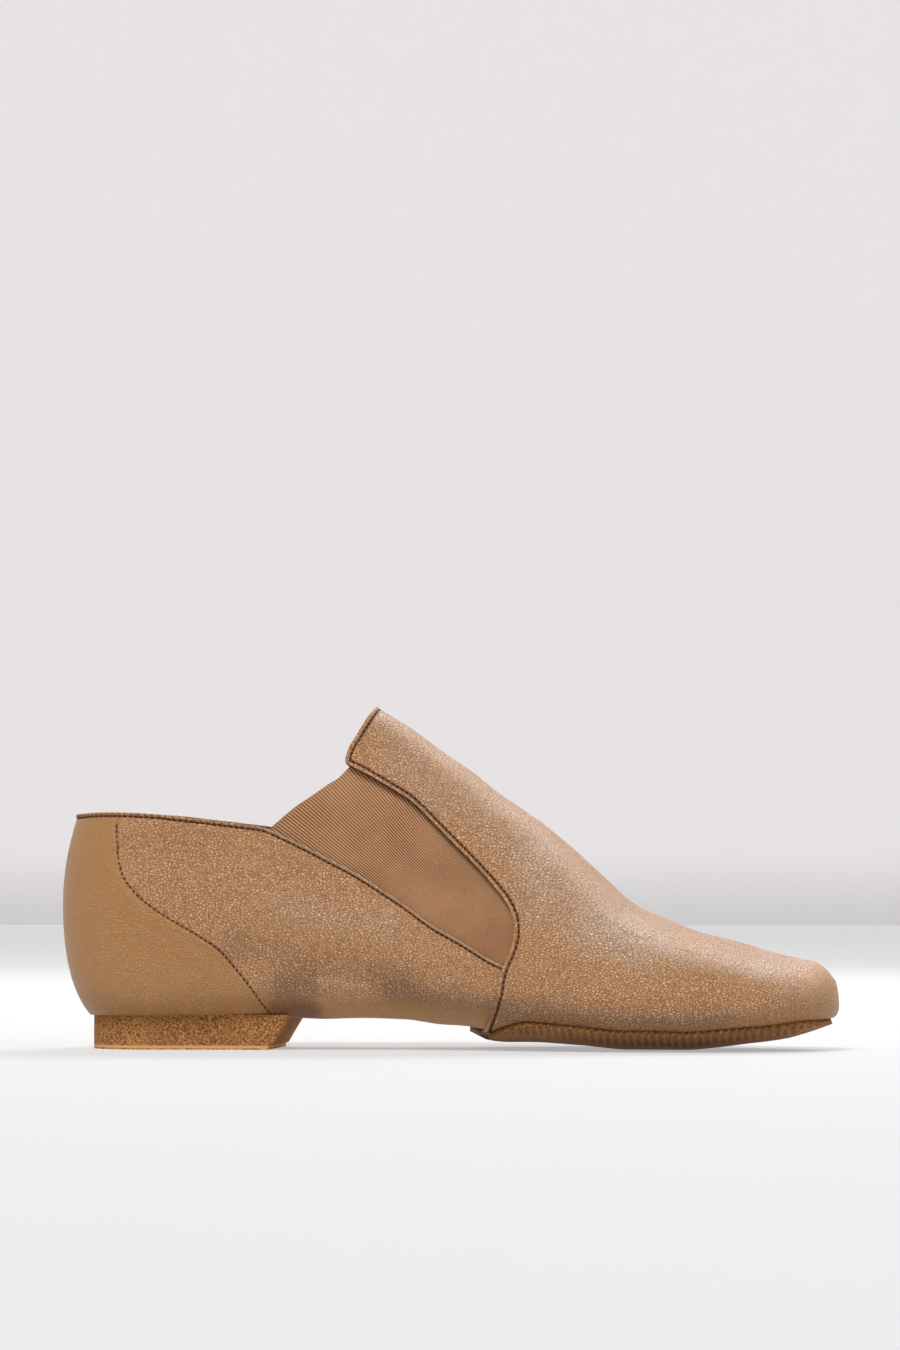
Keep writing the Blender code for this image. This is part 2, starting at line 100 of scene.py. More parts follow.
SECTIONS = table(
    ("at", "inner", "outer", "middle", "ridge", "widest", "drop", "round_top", "round_low"),
    (0.000, 0.322, 0.322, 0.000, 0.000, 0.224, 0.039, 2.20, 3.4),
    (0.122, 0.322, 0.328, 0.000, 0.000, 0.214, 0.039, 2.20, 3.4),
    (0.249, 0.310, 0.333, 0.006, 0.000, 0.214, 0.035, 2.10, 3.0),
    (0.400, 0.310, 0.362, 0.017, -0.011, 0.235, 0.027, 2.00, 2.5),
    (0.498, 0.345, 0.402, 0.017, -0.023, 0.204, 0.020, 1.95, 2.4),
    (0.600, 0.414, 0.471, 0.006, -0.046, 0.163, 0.012, 1.90, 2.5),
    (0.661, 0.454, 0.501, 0.000, -0.057, 0.143, 0.008, 1.90, 2.7),
    (0.718, 0.476, 0.494, -0.007, -0.057, 0.133, 0.006, 1.95, 2.8),
    (0.800, 0.462, 0.454, -0.021, -0.046, 0.122, 0.006, 2.00, 2.8),
    (0.882, 0.425, 0.391, -0.037, -0.023, 0.107, 0.006, 2.05, 2.7),
    (1.000, 0.379, 0.333, -0.057, 0.000, 0.077, 0.006, 2.10, 2.5),
)
RIDGE = table(
    ("at", "height"),
    (0.000, 1.010),
    (0.245, 1.046),
    (0.347, 1.056),
    (0.376, 1.031),
    (0.404, 0.994),
    (0.449, 0.930),
    (0.498, 0.858),
    (0.551, 0.777),
    (0.604, 0.692),
    (0.657, 0.595),
    (0.706, 0.494),
    (0.747, 0.414),
    (0.773, 0.386),
    (0.824, 0.334),
    (0.876, 0.287),
    (0.927, 0.233),
    (0.953, 0.209),
    (0.970, 0.192),
    (0.980, 0.179),
    (0.990, 0.157),
    (1.000, 0.110),
)
UNDERSIDE = table(
    ("at", "heel", "pad", "spring"),
    (0.000, 1.00, 0.00, 0.00),
    (0.270, 1.00, 0.00, 0.00),
    (0.310, 0.93, 0.00, 0.00),
    (0.345, 0.90, 0.01, 0.00),
    (0.384, 0.92, 0.03, 0.00),
    (0.449, 0.86, 0.09, 0.00),
    (0.490, 0.67, 0.25, 0.00),
    (0.527, 0.53, 0.50, 0.00),
    (0.571, 0.26, 0.86, 0.00),
    (0.629, 0.20, 1.00, 0.00),
    (0.678, 0.12, 1.00, 0.00),
    (0.740, 0.00, 0.99, 0.00),
    (0.812, 0.00, 0.99, 0.00),
    (0.849, 0.00, 1.00, 0.10),
    (0.886, 0.00, 1.00, 0.26),
    (0.918, 0.00, 1.00, 0.39),
    (0.955, 0.00, 1.00, 0.62),
    (1.000, 0.00, 1.00, 1.00),
)
END_CURVES = {
    "back_low": {"depth": 0.108, "start": 0.400, "reach": 0.470, "power": 2.6},
    "back_high": {"depth": 0.021, "start": 0.388, "reach": 0.265, "power": 1.7},
    "nose_low": {"depth": 0.008, "start": 0.036, "reach": 0.036, "power": 2.0},
    "nose_high": {"depth": 0.023, "start": 0.040, "reach": 0.160, "power": 1.6},
}
BACK_FADE = 0.245
NOSE_FADE = 0.080

# Outlines seen from the side: place along the foot, height over the underside. The quarter's top
# edge goes on under the vamp.
QUARTER_TOP = (
    (-0.049, 0.632), (0.024, 0.643), (0.069, 0.648), (0.127, 0.643), (0.179, 0.629), (0.230, 0.614),
    (0.273, 0.599), (0.304, 0.572), (0.336, 0.537), (0.367, 0.495), (0.398, 0.452), (0.429, 0.405),
    (0.461, 0.357), (0.493, 0.313), (0.524, 0.276), (0.555, 0.242), (0.584, 0.211), (0.626, 0.165),
)
ALONG_GORE = QUARTER_TOP[6:17]
VAMP_EDGE = (
    (0.584, 0.211), (0.592, 0.256), (0.597, 0.298), (0.597, 0.347), (0.591, 0.392), (0.580, 0.434),
    (0.561, 0.486), (0.543, 0.524), (0.523, 0.565), (0.506, 0.603), (0.478, 0.665), (0.458, 0.702),
    (0.426, 0.746), (0.394, 0.789), (0.377, 0.809),
)
THROAT = (
    (0.377, 0.809), (0.375, 0.828), (0.379, 0.863), (0.387, 0.901), (0.398, 0.957), (0.407, 1.000),
    (0.426, 1.082),
)
GORE_TOP = (
    (0.266, 0.564), (0.280, 0.600), (0.309, 0.671), (0.332, 0.714), (0.353, 0.752), (0.366, 0.771),
    (0.378, 0.802), (0.394, 0.837),
)
SEAM = ((0.584, 0.211), (0.580, 0.178), (0.576, 0.125), (0.568, 0.071), (0.557, 0.020), (0.552, 0.000))
COUNTER_LINE = (
    (0.083, 0.640), (0.084, 0.600), (0.086, 0.545), (0.089, 0.485), (0.097, 0.434), (0.114, 0.384),
    (0.136, 0.340), (0.160, 0.303), (0.186, 0.265), (0.215, 0.218), (0.236, 0.161), (0.257, 0.094),
    (0.269, 0.046), (0.280, 0.004),
)

# Creases and swellings of the leather: two ends in the side view as place and height, then
# half width and depth in millimetres; a depth under 0 stands out.
CREASES = table(
    ("from_at", "from_up", "to_at", "to_up", "width", "depth"),
    (0.225, 0.235, 0.430, 0.165, 6.0, 0.42),
    (0.250, 0.330, 0.400, 0.300, 9.0, -0.60),
    (0.285, 0.120, 0.345, 0.100, 6.0, -0.25),
    (0.300, 0.080, 0.330, 0.070, 5.0, 0.50),
    (0.345, 0.045, 0.450, 0.055, 3.5, -0.35),
    (0.620, 0.215, 0.700, 0.205, 1.4, 0.10),
    (0.615, 0.185, 0.680, 0.178, 1.2, 0.09),
    (0.625, 0.155, 0.720, 0.150, 1.6, 0.10),
    (0.600, 0.290, 0.640, 0.260, 2.5, 0.15),
    (0.640, 0.330, 0.780, 0.210, 9.0, -0.35),
    (0.505, 0.155, 0.555, 0.150, 5.0, 0.20),
    (0.120, 0.270, 0.200, 0.150, 7.0, -0.25),
    (0.015, 0.420, 0.060, 0.430, 6.0, 0.20),
)

# Painted shade on the leather, and painted highlight for an amount under 0, given in the same way
PAINTED_SHADE_AND_LIGHT = table(
    ("from_at", "from_up", "to_at", "to_up", "width", "depth"),
    (0.292, 0.010, 0.330, 0.020, 5.0, 0.95),
    (0.300, 0.100, 0.335, 0.110, 5.0, 0.40),
    (0.345, 0.128, 0.404, 0.103, 1.0, -0.60),
    (0.245, 0.220, 0.450, 0.150, 7.5, 0.36),
    (0.430, 0.085, 0.560, 0.080, 5.5, 0.36),
    (0.600, 0.080, 0.850, 0.070, 7.0, 0.40),
    (0.100, 0.330, 0.200, 0.180, 7.0, 0.15),
    (0.095, 0.560, 0.220, 0.560, 5.0, 0.22),
    (0.300, 0.360, 0.430, 0.290, 9.0, -0.36),
    (0.330, 0.080, 0.420, 0.060, 3.5, -0.20),
    (0.430, 0.830, 0.620, 0.560, 8.0, -0.40),
    (0.620, 0.440, 0.700, 0.340, 9.0, -0.22),
    (0.620, 0.520, 0.760, 0.310, 7.0, -0.36),
    (0.700, 0.330, 0.900, 0.210, 6.0, -0.30),
    (0.900, 0.210, 0.955, 0.185, 5.0, -0.32),
    (0.935, 0.130, 0.965, 0.120, 5.0, -0.28),
    (0.620, 0.360, 0.760, 0.240, 7.0, -0.20),
)

# Folded and stitched edges: the fold's rise and width, and the groove that its stitches pull in
FOLD_RISE = 0.22
FOLD_WIDTH = 0.75
GROOVE_AT = 1.15
QUARTER_STITCH_AT = 1.0
VAMP_STITCH_AT = 1.35
GROOVE_WIDTH = 0.36
GROOVE_DEPTH = 0.26
EDGE_REACH = 0.22


# Shape of the last

def smooth(source, name, at):
    """A column read between its rows, on a curve that never swings past them."""
    xs = source["at"]
    ys = source[name]
    step = np.diff(xs)
    slope = np.diff(ys) / step
    tangent = np.zeros(len(xs))
    tangent[0] = slope[0]
    tangent[-1] = slope[-1]
    for i in range(1, len(xs) - 1):
        if slope[i - 1] * slope[i] > 0:
            tangent[i] = 2 * slope[i - 1] * slope[i] / (slope[i - 1] + slope[i])
    at = np.clip(at, xs[0], xs[-1])
    i = np.clip(np.searchsorted(xs, at) - 1, 0, len(step) - 1)
    t = (at - xs[i]) / step[i]
    start = (1 + 2 * t) * (1 - t) ** 2 * ys[i] + t * (1 - t) ** 2 * step[i] * tangent[i]
    end = t * t * (3 - 2 * t) * ys[i + 1] + t * t * (t - 1) * step[i] * tangent[i + 1]
    return start + end


def round_in(t, power):
    """0 in the middle of a round, 1 where it closes."""
    t = np.clip(t, 0, 1)
    return 1 - (1 - t**power) ** (1 / power)


def underside(at):
    """Height over the floor of the last's underside."""
    seat = PAD + GAP + VAMP_STEP
    heel = smooth(UNDERSIDE, "heel", at) * HEEL_HEIGHT
    spring = smooth(UNDERSIDE, "spring", at) * TOE_SPRING
    return heel + smooth(UNDERSIDE, "pad", at) * seat + spring


def end_curve(name, height):
    """How far an end stands in at this height."""
    row = END_CURVES[name]
    away = (height - row["start"]) / row["reach"]
    if name == "back_high":
        return row["depth"] * np.clip(away, 0, None) ** row["power"]
    return row["depth"] * round_in(-away if name.endswith("low") else away, row["power"])


def back_in(height):
    return end_curve("back_low", height) + end_curve("back_high", height)


def last_points(at, turn):
    """Points of the last. turn goes once round the ring: from the outer side (0) over the ridge
    (0.25) and the inner side (0.5) to the underside (0.75)."""
    at, turn = np.broadcast_arrays(np.asarray(at, float), np.asarray(turn, float))
    across = np.cos(2 * np.pi * turn)
    up = np.sin(2 * np.pi * turn)
    power = np.where(up >= 0, smooth(SECTIONS, "round_top", at), smooth(SECTIONS, "round_low", at))
    reach = (np.abs(across) ** power + np.abs(up) ** power) ** (-1 / power)
    half = np.where(across >= 0, smooth(SECTIONS, "outer", at), smooth(SECTIONS, "inner", at))
    ends = 1 - round_in((HEEL_ROUND - at) / HEEL_ROUND, HEEL_PLAN_POWER)
    ends = ends * (1 - round_in((at - 1 + TOE_ROUND) / TOE_ROUND, TOE_PLAN_POWER))
    widest = smooth(SECTIONS, "widest", at)
    top = smooth(RIDGE, "height", at) - widest
    low = widest + smooth(SECTIONS, "drop", at)
    height = widest + reach * up * np.where(up >= 0, top, low)
    height = 0.5 * (height + np.sqrt(height**2 + SOLE_EDGE_ROUND**2))
    lean = np.clip((height - widest) / top, 0, 1) ** 2
    y = smooth(SECTIONS, "middle", at) + half * ends * reach * across
    y = y + lean * smooth(SECTIONS, "ridge", at)
    nose = end_curve("nose_low", height) + end_curve("nose_high", height)
    back = back_in(height) * np.clip(1 - at / BACK_FADE, 0, 1) ** 2
    nose = nose * np.clip(1 - (1 - at) / NOSE_FADE, 0, 1) ** 2
    x = (at + back - nose) * (LENGTH - VAMP_STEP)
    return np.stack([x, y * BALL_WIDTH, underside(at) + height * INSTEP_HEIGHT], axis=-1)


def skin(at, turn, out=0.0):
    """Points of the last grown by out, and the way that they face."""
    at = np.clip(at, END_CLEAR, 1 - END_CLEAR)
    at, turn, out = np.broadcast_arrays(at, turn, out)
    here = last_points(at, turn)
    forward = last_points(at + 2e-6, turn) - last_points(at - 2e-6, turn)
    round_it = last_points(at, turn + 1e-4) - last_points(at, turn - 1e-4)
    facing = np.cross(round_it, forward)
    facing = facing / np.maximum(np.linalg.norm(facing, axis=-1), 1e-12)[..., None]
    return here + out[..., None] * facing, facing


def under_turn(side):
    """Turn of the underside, reached down one side; side is -1 inner, 1 outer."""
    return UNDER_TURN if side < 0 else UNDER_TURN - 1


def turn_for(at, height, side):
    """Turn at which the last has this height over its underside; side is -1 inner, 1 outer."""
    at = np.asarray(at, float)
    widest = smooth(SECTIONS, "widest", at)
    top = smooth(RIDGE, "height", at) - widest
    low = widest + smooth(SECTIONS, "drop", at)
    above = height >= widest
    share = np.clip(np.where(above, (height - widest) / top, (widest - height) / low), 0, 1)
    power = np.where(above, smooth(SECTIONS, "round_top", at), smooth(SECTIONS, "round_low", at))
    angle = np.arctan2(share, (1 - share**power) ** (1 / power)) / (2 * np.pi)
    angle = np.where(above, angle, -angle)
    return angle if side > 0 else 0.5 - angle


def at_for(place, height):
    """Ring on which a point of the side outline lies; place is a share of the length."""
    goal = np.asarray(place, float) * LENGTH / (LENGTH - VAMP_STEP)
    at = np.clip(goal, 0, 1)
    for _ in range(30):
        back = back_in(height) * np.clip(1 - at / BACK_FADE, 0, 1) ** 2
        at = at + 0.5 * (np.clip(goal - back, END_CLEAR, 1) - at)
    return at


def drawn(line, parts=6):
    """A smooth curve through the points of a side outline, in its own shares."""
    pts = np.array(line, float)
    padded = np.vstack([2 * pts[0] - pts[1], pts, 2 * pts[-1] - pts[-2]])
    found = []
    for a, b, c, d in zip(padded, padded[1:], padded[2:], padded[3:]):
        for t in np.arange(parts) / parts:
            near = 2 * b + (c - a) * t + (2 * a - 5 * b + 4 * c - d) * t**2
            found.append(0.5 * (near + (3 * b - a - 3 * c + d) * t**3))
    found.append(pts[-1])
    return np.array(found)


def shifted(line, distance):
    """A side outline moved sideways by a distance in millimetres, to its right if over 0."""
    scale = np.array((LENGTH, INSTEP_HEIGHT))
    pts = np.asarray(line, float) * scale
    along = np.gradient(pts, axis=0)
    along = along / np.linalg.norm(along, axis=1)[:, None]
    return (pts + distance * np.stack([along[:, 1], -along[:, 0]], axis=1)) / scale


def run_of(line):
    """Length along a polyline at each of its points."""
    return np.concatenate([[0], np.cumsum(np.linalg.norm(np.diff(line, axis=0), axis=1))])


def evenly(line, count):
    """The points of a polyline spread evenly over its length."""
    line = np.asarray(line, float)
    run = run_of(line)
    goal = np.linspace(0, run[-1], count) if np.isscalar(count) else np.asarray(count) * run[-1]
    return np.stack([np.interp(goal, run, column) for column in line.T], axis=1)


def distance_to(places, heights, line):
    """Signed distance in millimetres from points of the side view to a side outline, over 0 to
    its left."""
    points = np.stack([np.ravel(places) * LENGTH, np.ravel(heights) * INSTEP_HEIGHT], axis=1)
    line = np.asarray(line) * (LENGTH, INSTEP_HEIGHT)
    start, step = line[:-1], np.diff(line, axis=0)
    best = np.full(len(points), 1e9)
    sign = np.ones(len(points))
    for a, d in zip(start, step):
        t = np.clip(((points - a) @ d) / (d @ d), 0, 1)
        away = points - a - t[:, None] * d
        far = np.linalg.norm(away, axis=1)
        nearer = far < best
        best = np.where(nearer, far, best)
        sign = np.where(nearer, np.sign(d[0] * away[:, 1] - d[1] * away[:, 0]), sign)
    return (best * np.where(sign == 0, 1, sign)).reshape(np.shape(places))


def laid_on(source, places, heights):
    """What the rows of CREASES or PAINTED_SHADE_AND_LIGHT add up to at points of the side view."""
    points = np.stack([places * LENGTH, heights * INSTEP_HEIGHT], axis=-1)
    total = np.zeros(np.shape(places))
    for row in zip(*source.values()):
        start = np.array([row[0] * LENGTH, row[1] * INSTEP_HEIGHT])
        step = np.array([row[2] * LENGTH, row[3] * INSTEP_HEIGHT]) - start
        t = np.clip(((points - start) @ step) / (step @ step), 0, 1)
        away = np.linalg.norm(points - start - t[..., None] * step, axis=-1)
        total = total + row[5] * np.exp(-((away / row[4]) ** 2))
    return total


def folded(distance):
    """How far a folded and stitched edge stands out at this distance from it."""
    rise = FOLD_RISE * np.clip(1 - (distance / FOLD_WIDTH) ** 4, 0, 1)
    return rise - GROOVE_DEPTH * np.exp(-(((distance - GROOVE_AT) / GROOVE_WIDTH) ** 2))


def side_view(rings, turns):
    """Places and heights of points of the last in the side view."""
    here = last_points(rings, turns)
    return here[..., 0] / LENGTH, (here[..., 2] - underside(rings)) / INSTEP_HEIGHT


# Place of the shoe in the frame: the CAD top lift's box against the same outline worked out here

def low_point(at, share, out):
    """A point of the underside at a share of the half width (-1 inner, 1 outer), out below it."""
    across = np.clip(np.abs(share), 0, 0.999)
    power = smooth(SECTIONS, "round_low", at)
    fall = (1 - across**power) ** (1 / power)
    turn = np.arctan2(fall, across) / (2 * np.pi)
    turn = np.where(np.asarray(share) >= 0, 1 - turn, 0.5 + turn)
    return skin(at, turn, out)[0]


def heel_outline(front, count=40):
    """Plan of the heel: it follows the upper's underside round the back, straight in front."""
    t = np.linspace(0, 1, count)
    at = (front + HEEL_INSET) / (LENGTH - VAMP_STEP) * t**2
    inner = low_point(at, np.full(count, -HEEL_SHARE), 0.0)[::-1, :2]
    outer = low_point(at, np.full(count, HEEL_SHARE), 0.0)[1:, :2]
    line = np.vstack([inner, outer])
    along = np.gradient(line, axis=0)
    along = along / np.linalg.norm(along, axis=1)[:, None]
    line = line + HEEL_INSET * np.stack([along[:, 1], -along[:, 0]], axis=1)
    line[[0, -1], 0] = front
    return line


HEEL_BACK = float(last_points(0.0, UNDER_TURN)[0]) + HEEL_INSET
lift_low, lift_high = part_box("heel_lift")
lift_plan = heel_outline(HEEL_BACK + HEEL_LENGTH)
ORIGIN = np.array([
    lift_high.x / MM - lift_plan[:, 0].max(),
    lift_low.y / MM - lift_plan[:, 1].min(),
    0.0,
])


# Meshes

def put_in(name, data, place=(0, 0, 0), turn=(0, 0, 0)):
    """An object in the scene made from a mesh, light or camera."""
    made = bpy.data.objects.new(name, data)
    bpy.context.scene.collection.objects.link(made)
    made.location = place
    made.rotation_euler = turn
    return made


def piece(name, points, faces, materials, nodes, kinds=None, marks=None, flat=False):
    """A mesh of the shoe from points in millimetres, riding on the shoe's one body."""
    data = bpy.data.meshes.new(name)
    data.from_pydata([tuple(p) for p in (np.asarray(points) + ORIGIN) * MM], [], [tuple(f) for f in faces])
    made = put_in(name, data)
    for material in materials:
        data.materials.append(material)
    if kinds is not None:
        data.polygons.foreach_set("material_index", np.asarray(kinds, np.int32))
    for title, values in (marks or {}).items():
        layer = data.attributes.new(title, "FLOAT", "POINT")
        layer.data.foreach_set("value", np.asarray(values, np.float32))
    data.polygons.foreach_set("use_smooth", np.full(len(data.polygons), not flat))
    data.validate()
    data.update()
    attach(made, "root")
    if nodes:
        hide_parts(*nodes)
    return made


def weld(points, faces, marks, near=0.004):
    """Joins the points that lie on each other, and drops the faces that this closes up."""
    keys = np.round(np.asarray(points) / near).astype(np.int64)
    _, first, back = np.unique(keys, axis=0, return_index=True, return_inverse=True)
    back = back.ravel()
    faces = back[np.asarray(faces)]
    kept = []
    which = []
    for k, face in enumerate(faces):
        face = list(dict.fromkeys(face.tolist()))
        if len(face) > 2:
            kept.append(face)
            which.append(k)
    return np.asarray(points)[first], kept, {m: np.asarray(v)[first] for m, v in marks.items()}, which


def grid_faces(rows, columns, start=0):
    """Faces of a grid whose points are numbered row by row."""
    i, j = np.meshgrid(np.arange(rows - 1), np.arange(columns - 1), indexing="ij")
    a = (start + i * columns + j).ravel()
    return np.stack([a, a + 1, a + columns + 1, a + columns], axis=1)


def rim(edge, inside, facing, thick, count=5):
    """Rows that round off a sheet's edge, from its outer face to its inner face."""
    ahead = edge - inside
    ahead = ahead - (ahead * facing).sum(-1)[..., None] * facing
    ahead = ahead / np.maximum(np.linalg.norm(ahead, axis=-1), 1e-9)[..., None]
    rows = []
    for angle in np.linspace(0, np.pi, count + 2)[1:-1]:
        low = facing * (thick / 2 * (math.cos(angle) - 1))
        rows.append(edge + low + ahead * EDGE_REACH * math.sin(angle))
    return rows


def closed_sheet(first, second):
    """Points and faces of a sheet between two grids of points."""
    rows, columns = first.shape[:2]
    points = np.concatenate([first.reshape(-1, 3), second.reshape(-1, 3)])
    back = grid_faces(rows, columns, rows * columns)[:, ::-1]
    ring = np.concatenate([
        np.arange(columns), np.arange(1, rows) * columns + columns - 1,
        (rows - 1) * columns + np.arange(columns - 2, -1, -1), np.arange(rows - 2, 0, -1) * columns,
    ])
    after = np.roll(ring, -1)
    walls = np.stack([after, ring, ring + rows * columns, after + rows * columns], axis=1)
    return points, np.concatenate([grid_faces(rows, columns), back, walls])


def wrapped(outside, inside, facing, thick):
    """A panel's points, column by column: inside, round the rim and outside. Also the number of
    rows that the inside keeps."""
    picks = inside_rows(outside.shape[1])
    edge = rim(outside[:, 0], outside[:, 1], facing[:, 0], thick + FOLD_RISE)
    profile = [inside[:, i] for i in picks[::-1]] + edge[::-1]
    profile += [outside[:, i] for i in range(outside.shape[1])]
    return np.stack(profile, axis=1), len(picks)


# Materials

def new_material(name):
    material = bpy.data.materials.new(name)
    material.use_nodes = True
    material.node_tree.nodes.clear()
    out = material.node_tree.nodes.new("ShaderNodeOutputMaterial")
    shader = material.node_tree.nodes.new("ShaderNodeBsdfPrincipled")
    material.node_tree.links.new(shader.outputs[0], out.inputs[0])
    return material, material.node_tree, shader


def feed(tree, socket, value):
    """Brings a socket, a number or a colour to a socket."""
    if isinstance(value, bpy.types.NodeSocket):
        tree.links.new(value, socket)
    else:
        colour = socket.type == "RGBA"
        socket.default_value = (*value, 1.0) if colour else value


def add(tree, kind, **settings):
    """A node with its settings; a socket's value is given by its name with _ for spaces."""
    node = tree.nodes.new(kind)
    for key, value in settings.items():
        if hasattr(node, key) and key not in ("scale", "Scale"):
            setattr(node, key, value)
        else:
            feed(tree, node.inputs[key.replace("_", " ")], value)
    return node


def sums(tree, kind, *values):
    """A maths node, given numbers or sockets."""
    node = tree.nodes.new("ShaderNodeMath")
    node.operation = kind
    for socket, value in zip(node.inputs, values):
        feed(tree, socket, value)
    return node.outputs[0]


def ramp(tree, value, low, high, start=0.0, end=1.0):
    """A value brought from one range to another, held at its ends."""
    node = tree.nodes.new("ShaderNodeMapRange")
    node.interpolation_type = "SMOOTHSTEP"
    tree.links.new(value, node.inputs["Value"])
    for name, number in (("From Min", low), ("From Max", high), ("To Min", start), ("To Max", end)):
        node.inputs[name].default_value = number
    return node.outputs["Result"]


def blend(tree, factor, first, second):
    """A mix of two colours, each a socket or three numbers."""
    node = tree.nodes.new("ShaderNodeMix")
    node.data_type = "RGBA"
    for number, value in ((0, factor), (6, first), (7, second)):
        feed(tree, node.inputs[number], value)
    return node.outputs[2]


def new_group(name, inputs, outputs):
    """A shader node group with named sockets: (name, kind, value)."""
    group = bpy.data.node_groups.new(name, "ShaderNodeTree")
    for title, kind, value in inputs:
        socket = group.interface.new_socket(title, in_out="INPUT", socket_type=kind)
        if value is not None:
            socket.default_value = value
    for title, kind in outputs:
        group.interface.new_socket(title, in_out="OUTPUT", socket_type=kind)
    return group, group.nodes.new("NodeGroupInput").outputs, group.nodes.new("NodeGroupOutput").inputs


def use(tree, group, **values):
    """A group placed in a material."""
    node = tree.nodes.new("ShaderNodeGroup")
    node.node_tree = group
    for key, value in values.items():
        feed(tree, node.inputs[key], value)
    return node.outputs


def mixed_in(tree, value, other, amount):
    """A value with an amount of another added."""
    return sums(tree, "ADD", value, sums(tree, "MULTIPLY", other, amount))


def mesh_mark(tree, name):
    """A mark on the mesh, by its name."""
    return add(tree, "ShaderNodeAttribute", attribute_name=name).outputs["Fac"]


def raise_by(tree, shader, height, strength, distance):
    """Gives a shader a bump; distance is in metres."""
    bump = add(tree, "ShaderNodeBump", Strength=strength, Distance=distance)
    tree.links.new(height, bump.inputs["Height"])
    tree.links.new(bump.outputs["Normal"], shader.inputs["Normal"])


GRAIN_WANDER = 0.0008


def pebble_group():
    """Grain of soft leather: small puffed cells with thin valleys, and finer pores on them."""
    group, given, result = new_group(
        "leather_pebble",
        [("Place", "NodeSocketVector", None), ("Cell", "NodeSocketFloat", 0.9)],
        [("Height", "NodeSocketFloat"), ("Valley", "NodeSocketFloat"), ("Pores", "NodeSocketFloat")],
    )
    cells = sums(group, "DIVIDE", 1000.0, given["Cell"])
    wander = add(group, "ShaderNodeTexNoise", Vector=given["Place"], Scale=700.0, Detail=2.0)
    moved = add(
        group, "ShaderNodeVectorMath", operation="SCALE", Vector=wander.outputs["Color"], Scale=GRAIN_WANDER)
    place = add(group, "ShaderNodeVectorMath", operation="ADD")
    group.links.new(given["Place"], place.inputs[0])
    group.links.new(moved.outputs[0], place.inputs[1])
    puffs = []
    for share in (1.0, 1.9):
        cell = add(group, "ShaderNodeTexVoronoi", feature="DISTANCE_TO_EDGE", Vector=place.outputs[0])
        group.links.new(sums(group, "MULTIPLY", cells, share), cell.inputs["Scale"])
        puffs.append(ramp(group, cell.outputs["Distance"], 0.0, 0.20))
    soft = add(group, "ShaderNodeTexNoise", Vector=given["Place"], Detail=2.0, Roughness=0.5)
    group.links.new(sums(group, "MULTIPLY", cells, 0.9), soft.inputs["Scale"])
    pores = add(group, "ShaderNodeTexNoise", Vector=given["Place"], Detail=2.0)
    group.links.new(sums(group, "MULTIPLY", cells, 4.0), pores.inputs["Scale"])
    height = mixed_in(group, sums(group, "MULTIPLY", puffs[0], 0.60), puffs[1], 0.18)
    height = mixed_in(group, height, soft.outputs["Fac"], 0.45)
    group.links.new(mixed_in(group, height, pores.outputs["Fac"], 0.08), result["Height"])
    valley = mixed_in(group, sums(group, "MULTIPLY", puffs[0], 0.75), puffs[1], 0.25)
    group.links.new(sums(group, "SUBTRACT", 1.0, valley), result["Valley"])
    group.links.new(pores.outputs["Fac"], result["Pores"])
    return group


def patch_group():
    """Soft uneven patches, as of dye, handling and dust."""
    group, given, result = new_group(
        "soft_patches",
        [("Place", "NodeSocketVector", None), ("Size", "NodeSocketFloat", 30.0)],
        [("Patch", "NodeSocketFloat")],
    )
    noise = add(group, "ShaderNodeTexNoise", Vector=given["Place"], Detail=4.0, Roughness=0.55)
    group.links.new(sums(group, "DIVIDE", 1000.0, given["Size"]), noise.inputs["Scale"])
    group.links.new(ramp(group, noise.outputs["Fac"], 0.30, 0.70), result["Patch"])
    return group


PEBBLE = pebble_group()
PATCHES = patch_group()

# Colours, as linear values
TAN = (0.790, 0.398, 0.180)
TAN_WARM = (0.805, 0.394, 0.164)
TAN_PATCH_AND_HIGHLIGHT = (0.860, 0.560, 0.350)
TAN_PAINTED_HIGHLIGHT = (0.950, 0.640, 0.450)
TAN_PAINTED_SHADE = (0.200, 0.082, 0.030)
TAN_SMOOTH = (0.405, 0.194, 0.060)
TAN_GROOVE_SHADE = (0.170, 0.050, 0.012)
RIM_PAINTED_HIGHLIGHT = (0.680, 0.470, 0.310)
ELASTIC_TAN = (0.440, 0.205, 0.078)
ELASTIC_DEEP = (0.060, 0.018, 0.006)
ELASTIC_CREST_HIGHLIGHT = (0.620, 0.350, 0.190)
THREAD = (0.110, 0.028, 0.007)
THREAD_LIGHT = (0.330, 0.170, 0.085)
SOLE_BROWN = (0.440, 0.205, 0.074)
SOLE_DEEP = (0.170, 0.066, 0.020)
SOLE_DARK = (0.050, 0.014, 0.004)
HEEL_TAN = (0.600, 0.290, 0.105)
HEEL_DEEP = (0.125, 0.042, 0.010)
LIFT_TAN = (0.560, 0.320, 0.160)
LINING_TAN = (0.130, 0.072, 0.040)

# How far grain, cloth and fibres stand out at most, in metres, and how strongly they reflect
GRAIN_RAISE = 0.00115
CLOTH_RAISE = 0.0003
FIBRE_RAISE = 0.0001
LEATHER_SHINE = 0.40
CLOTH_SHINE = 0.15


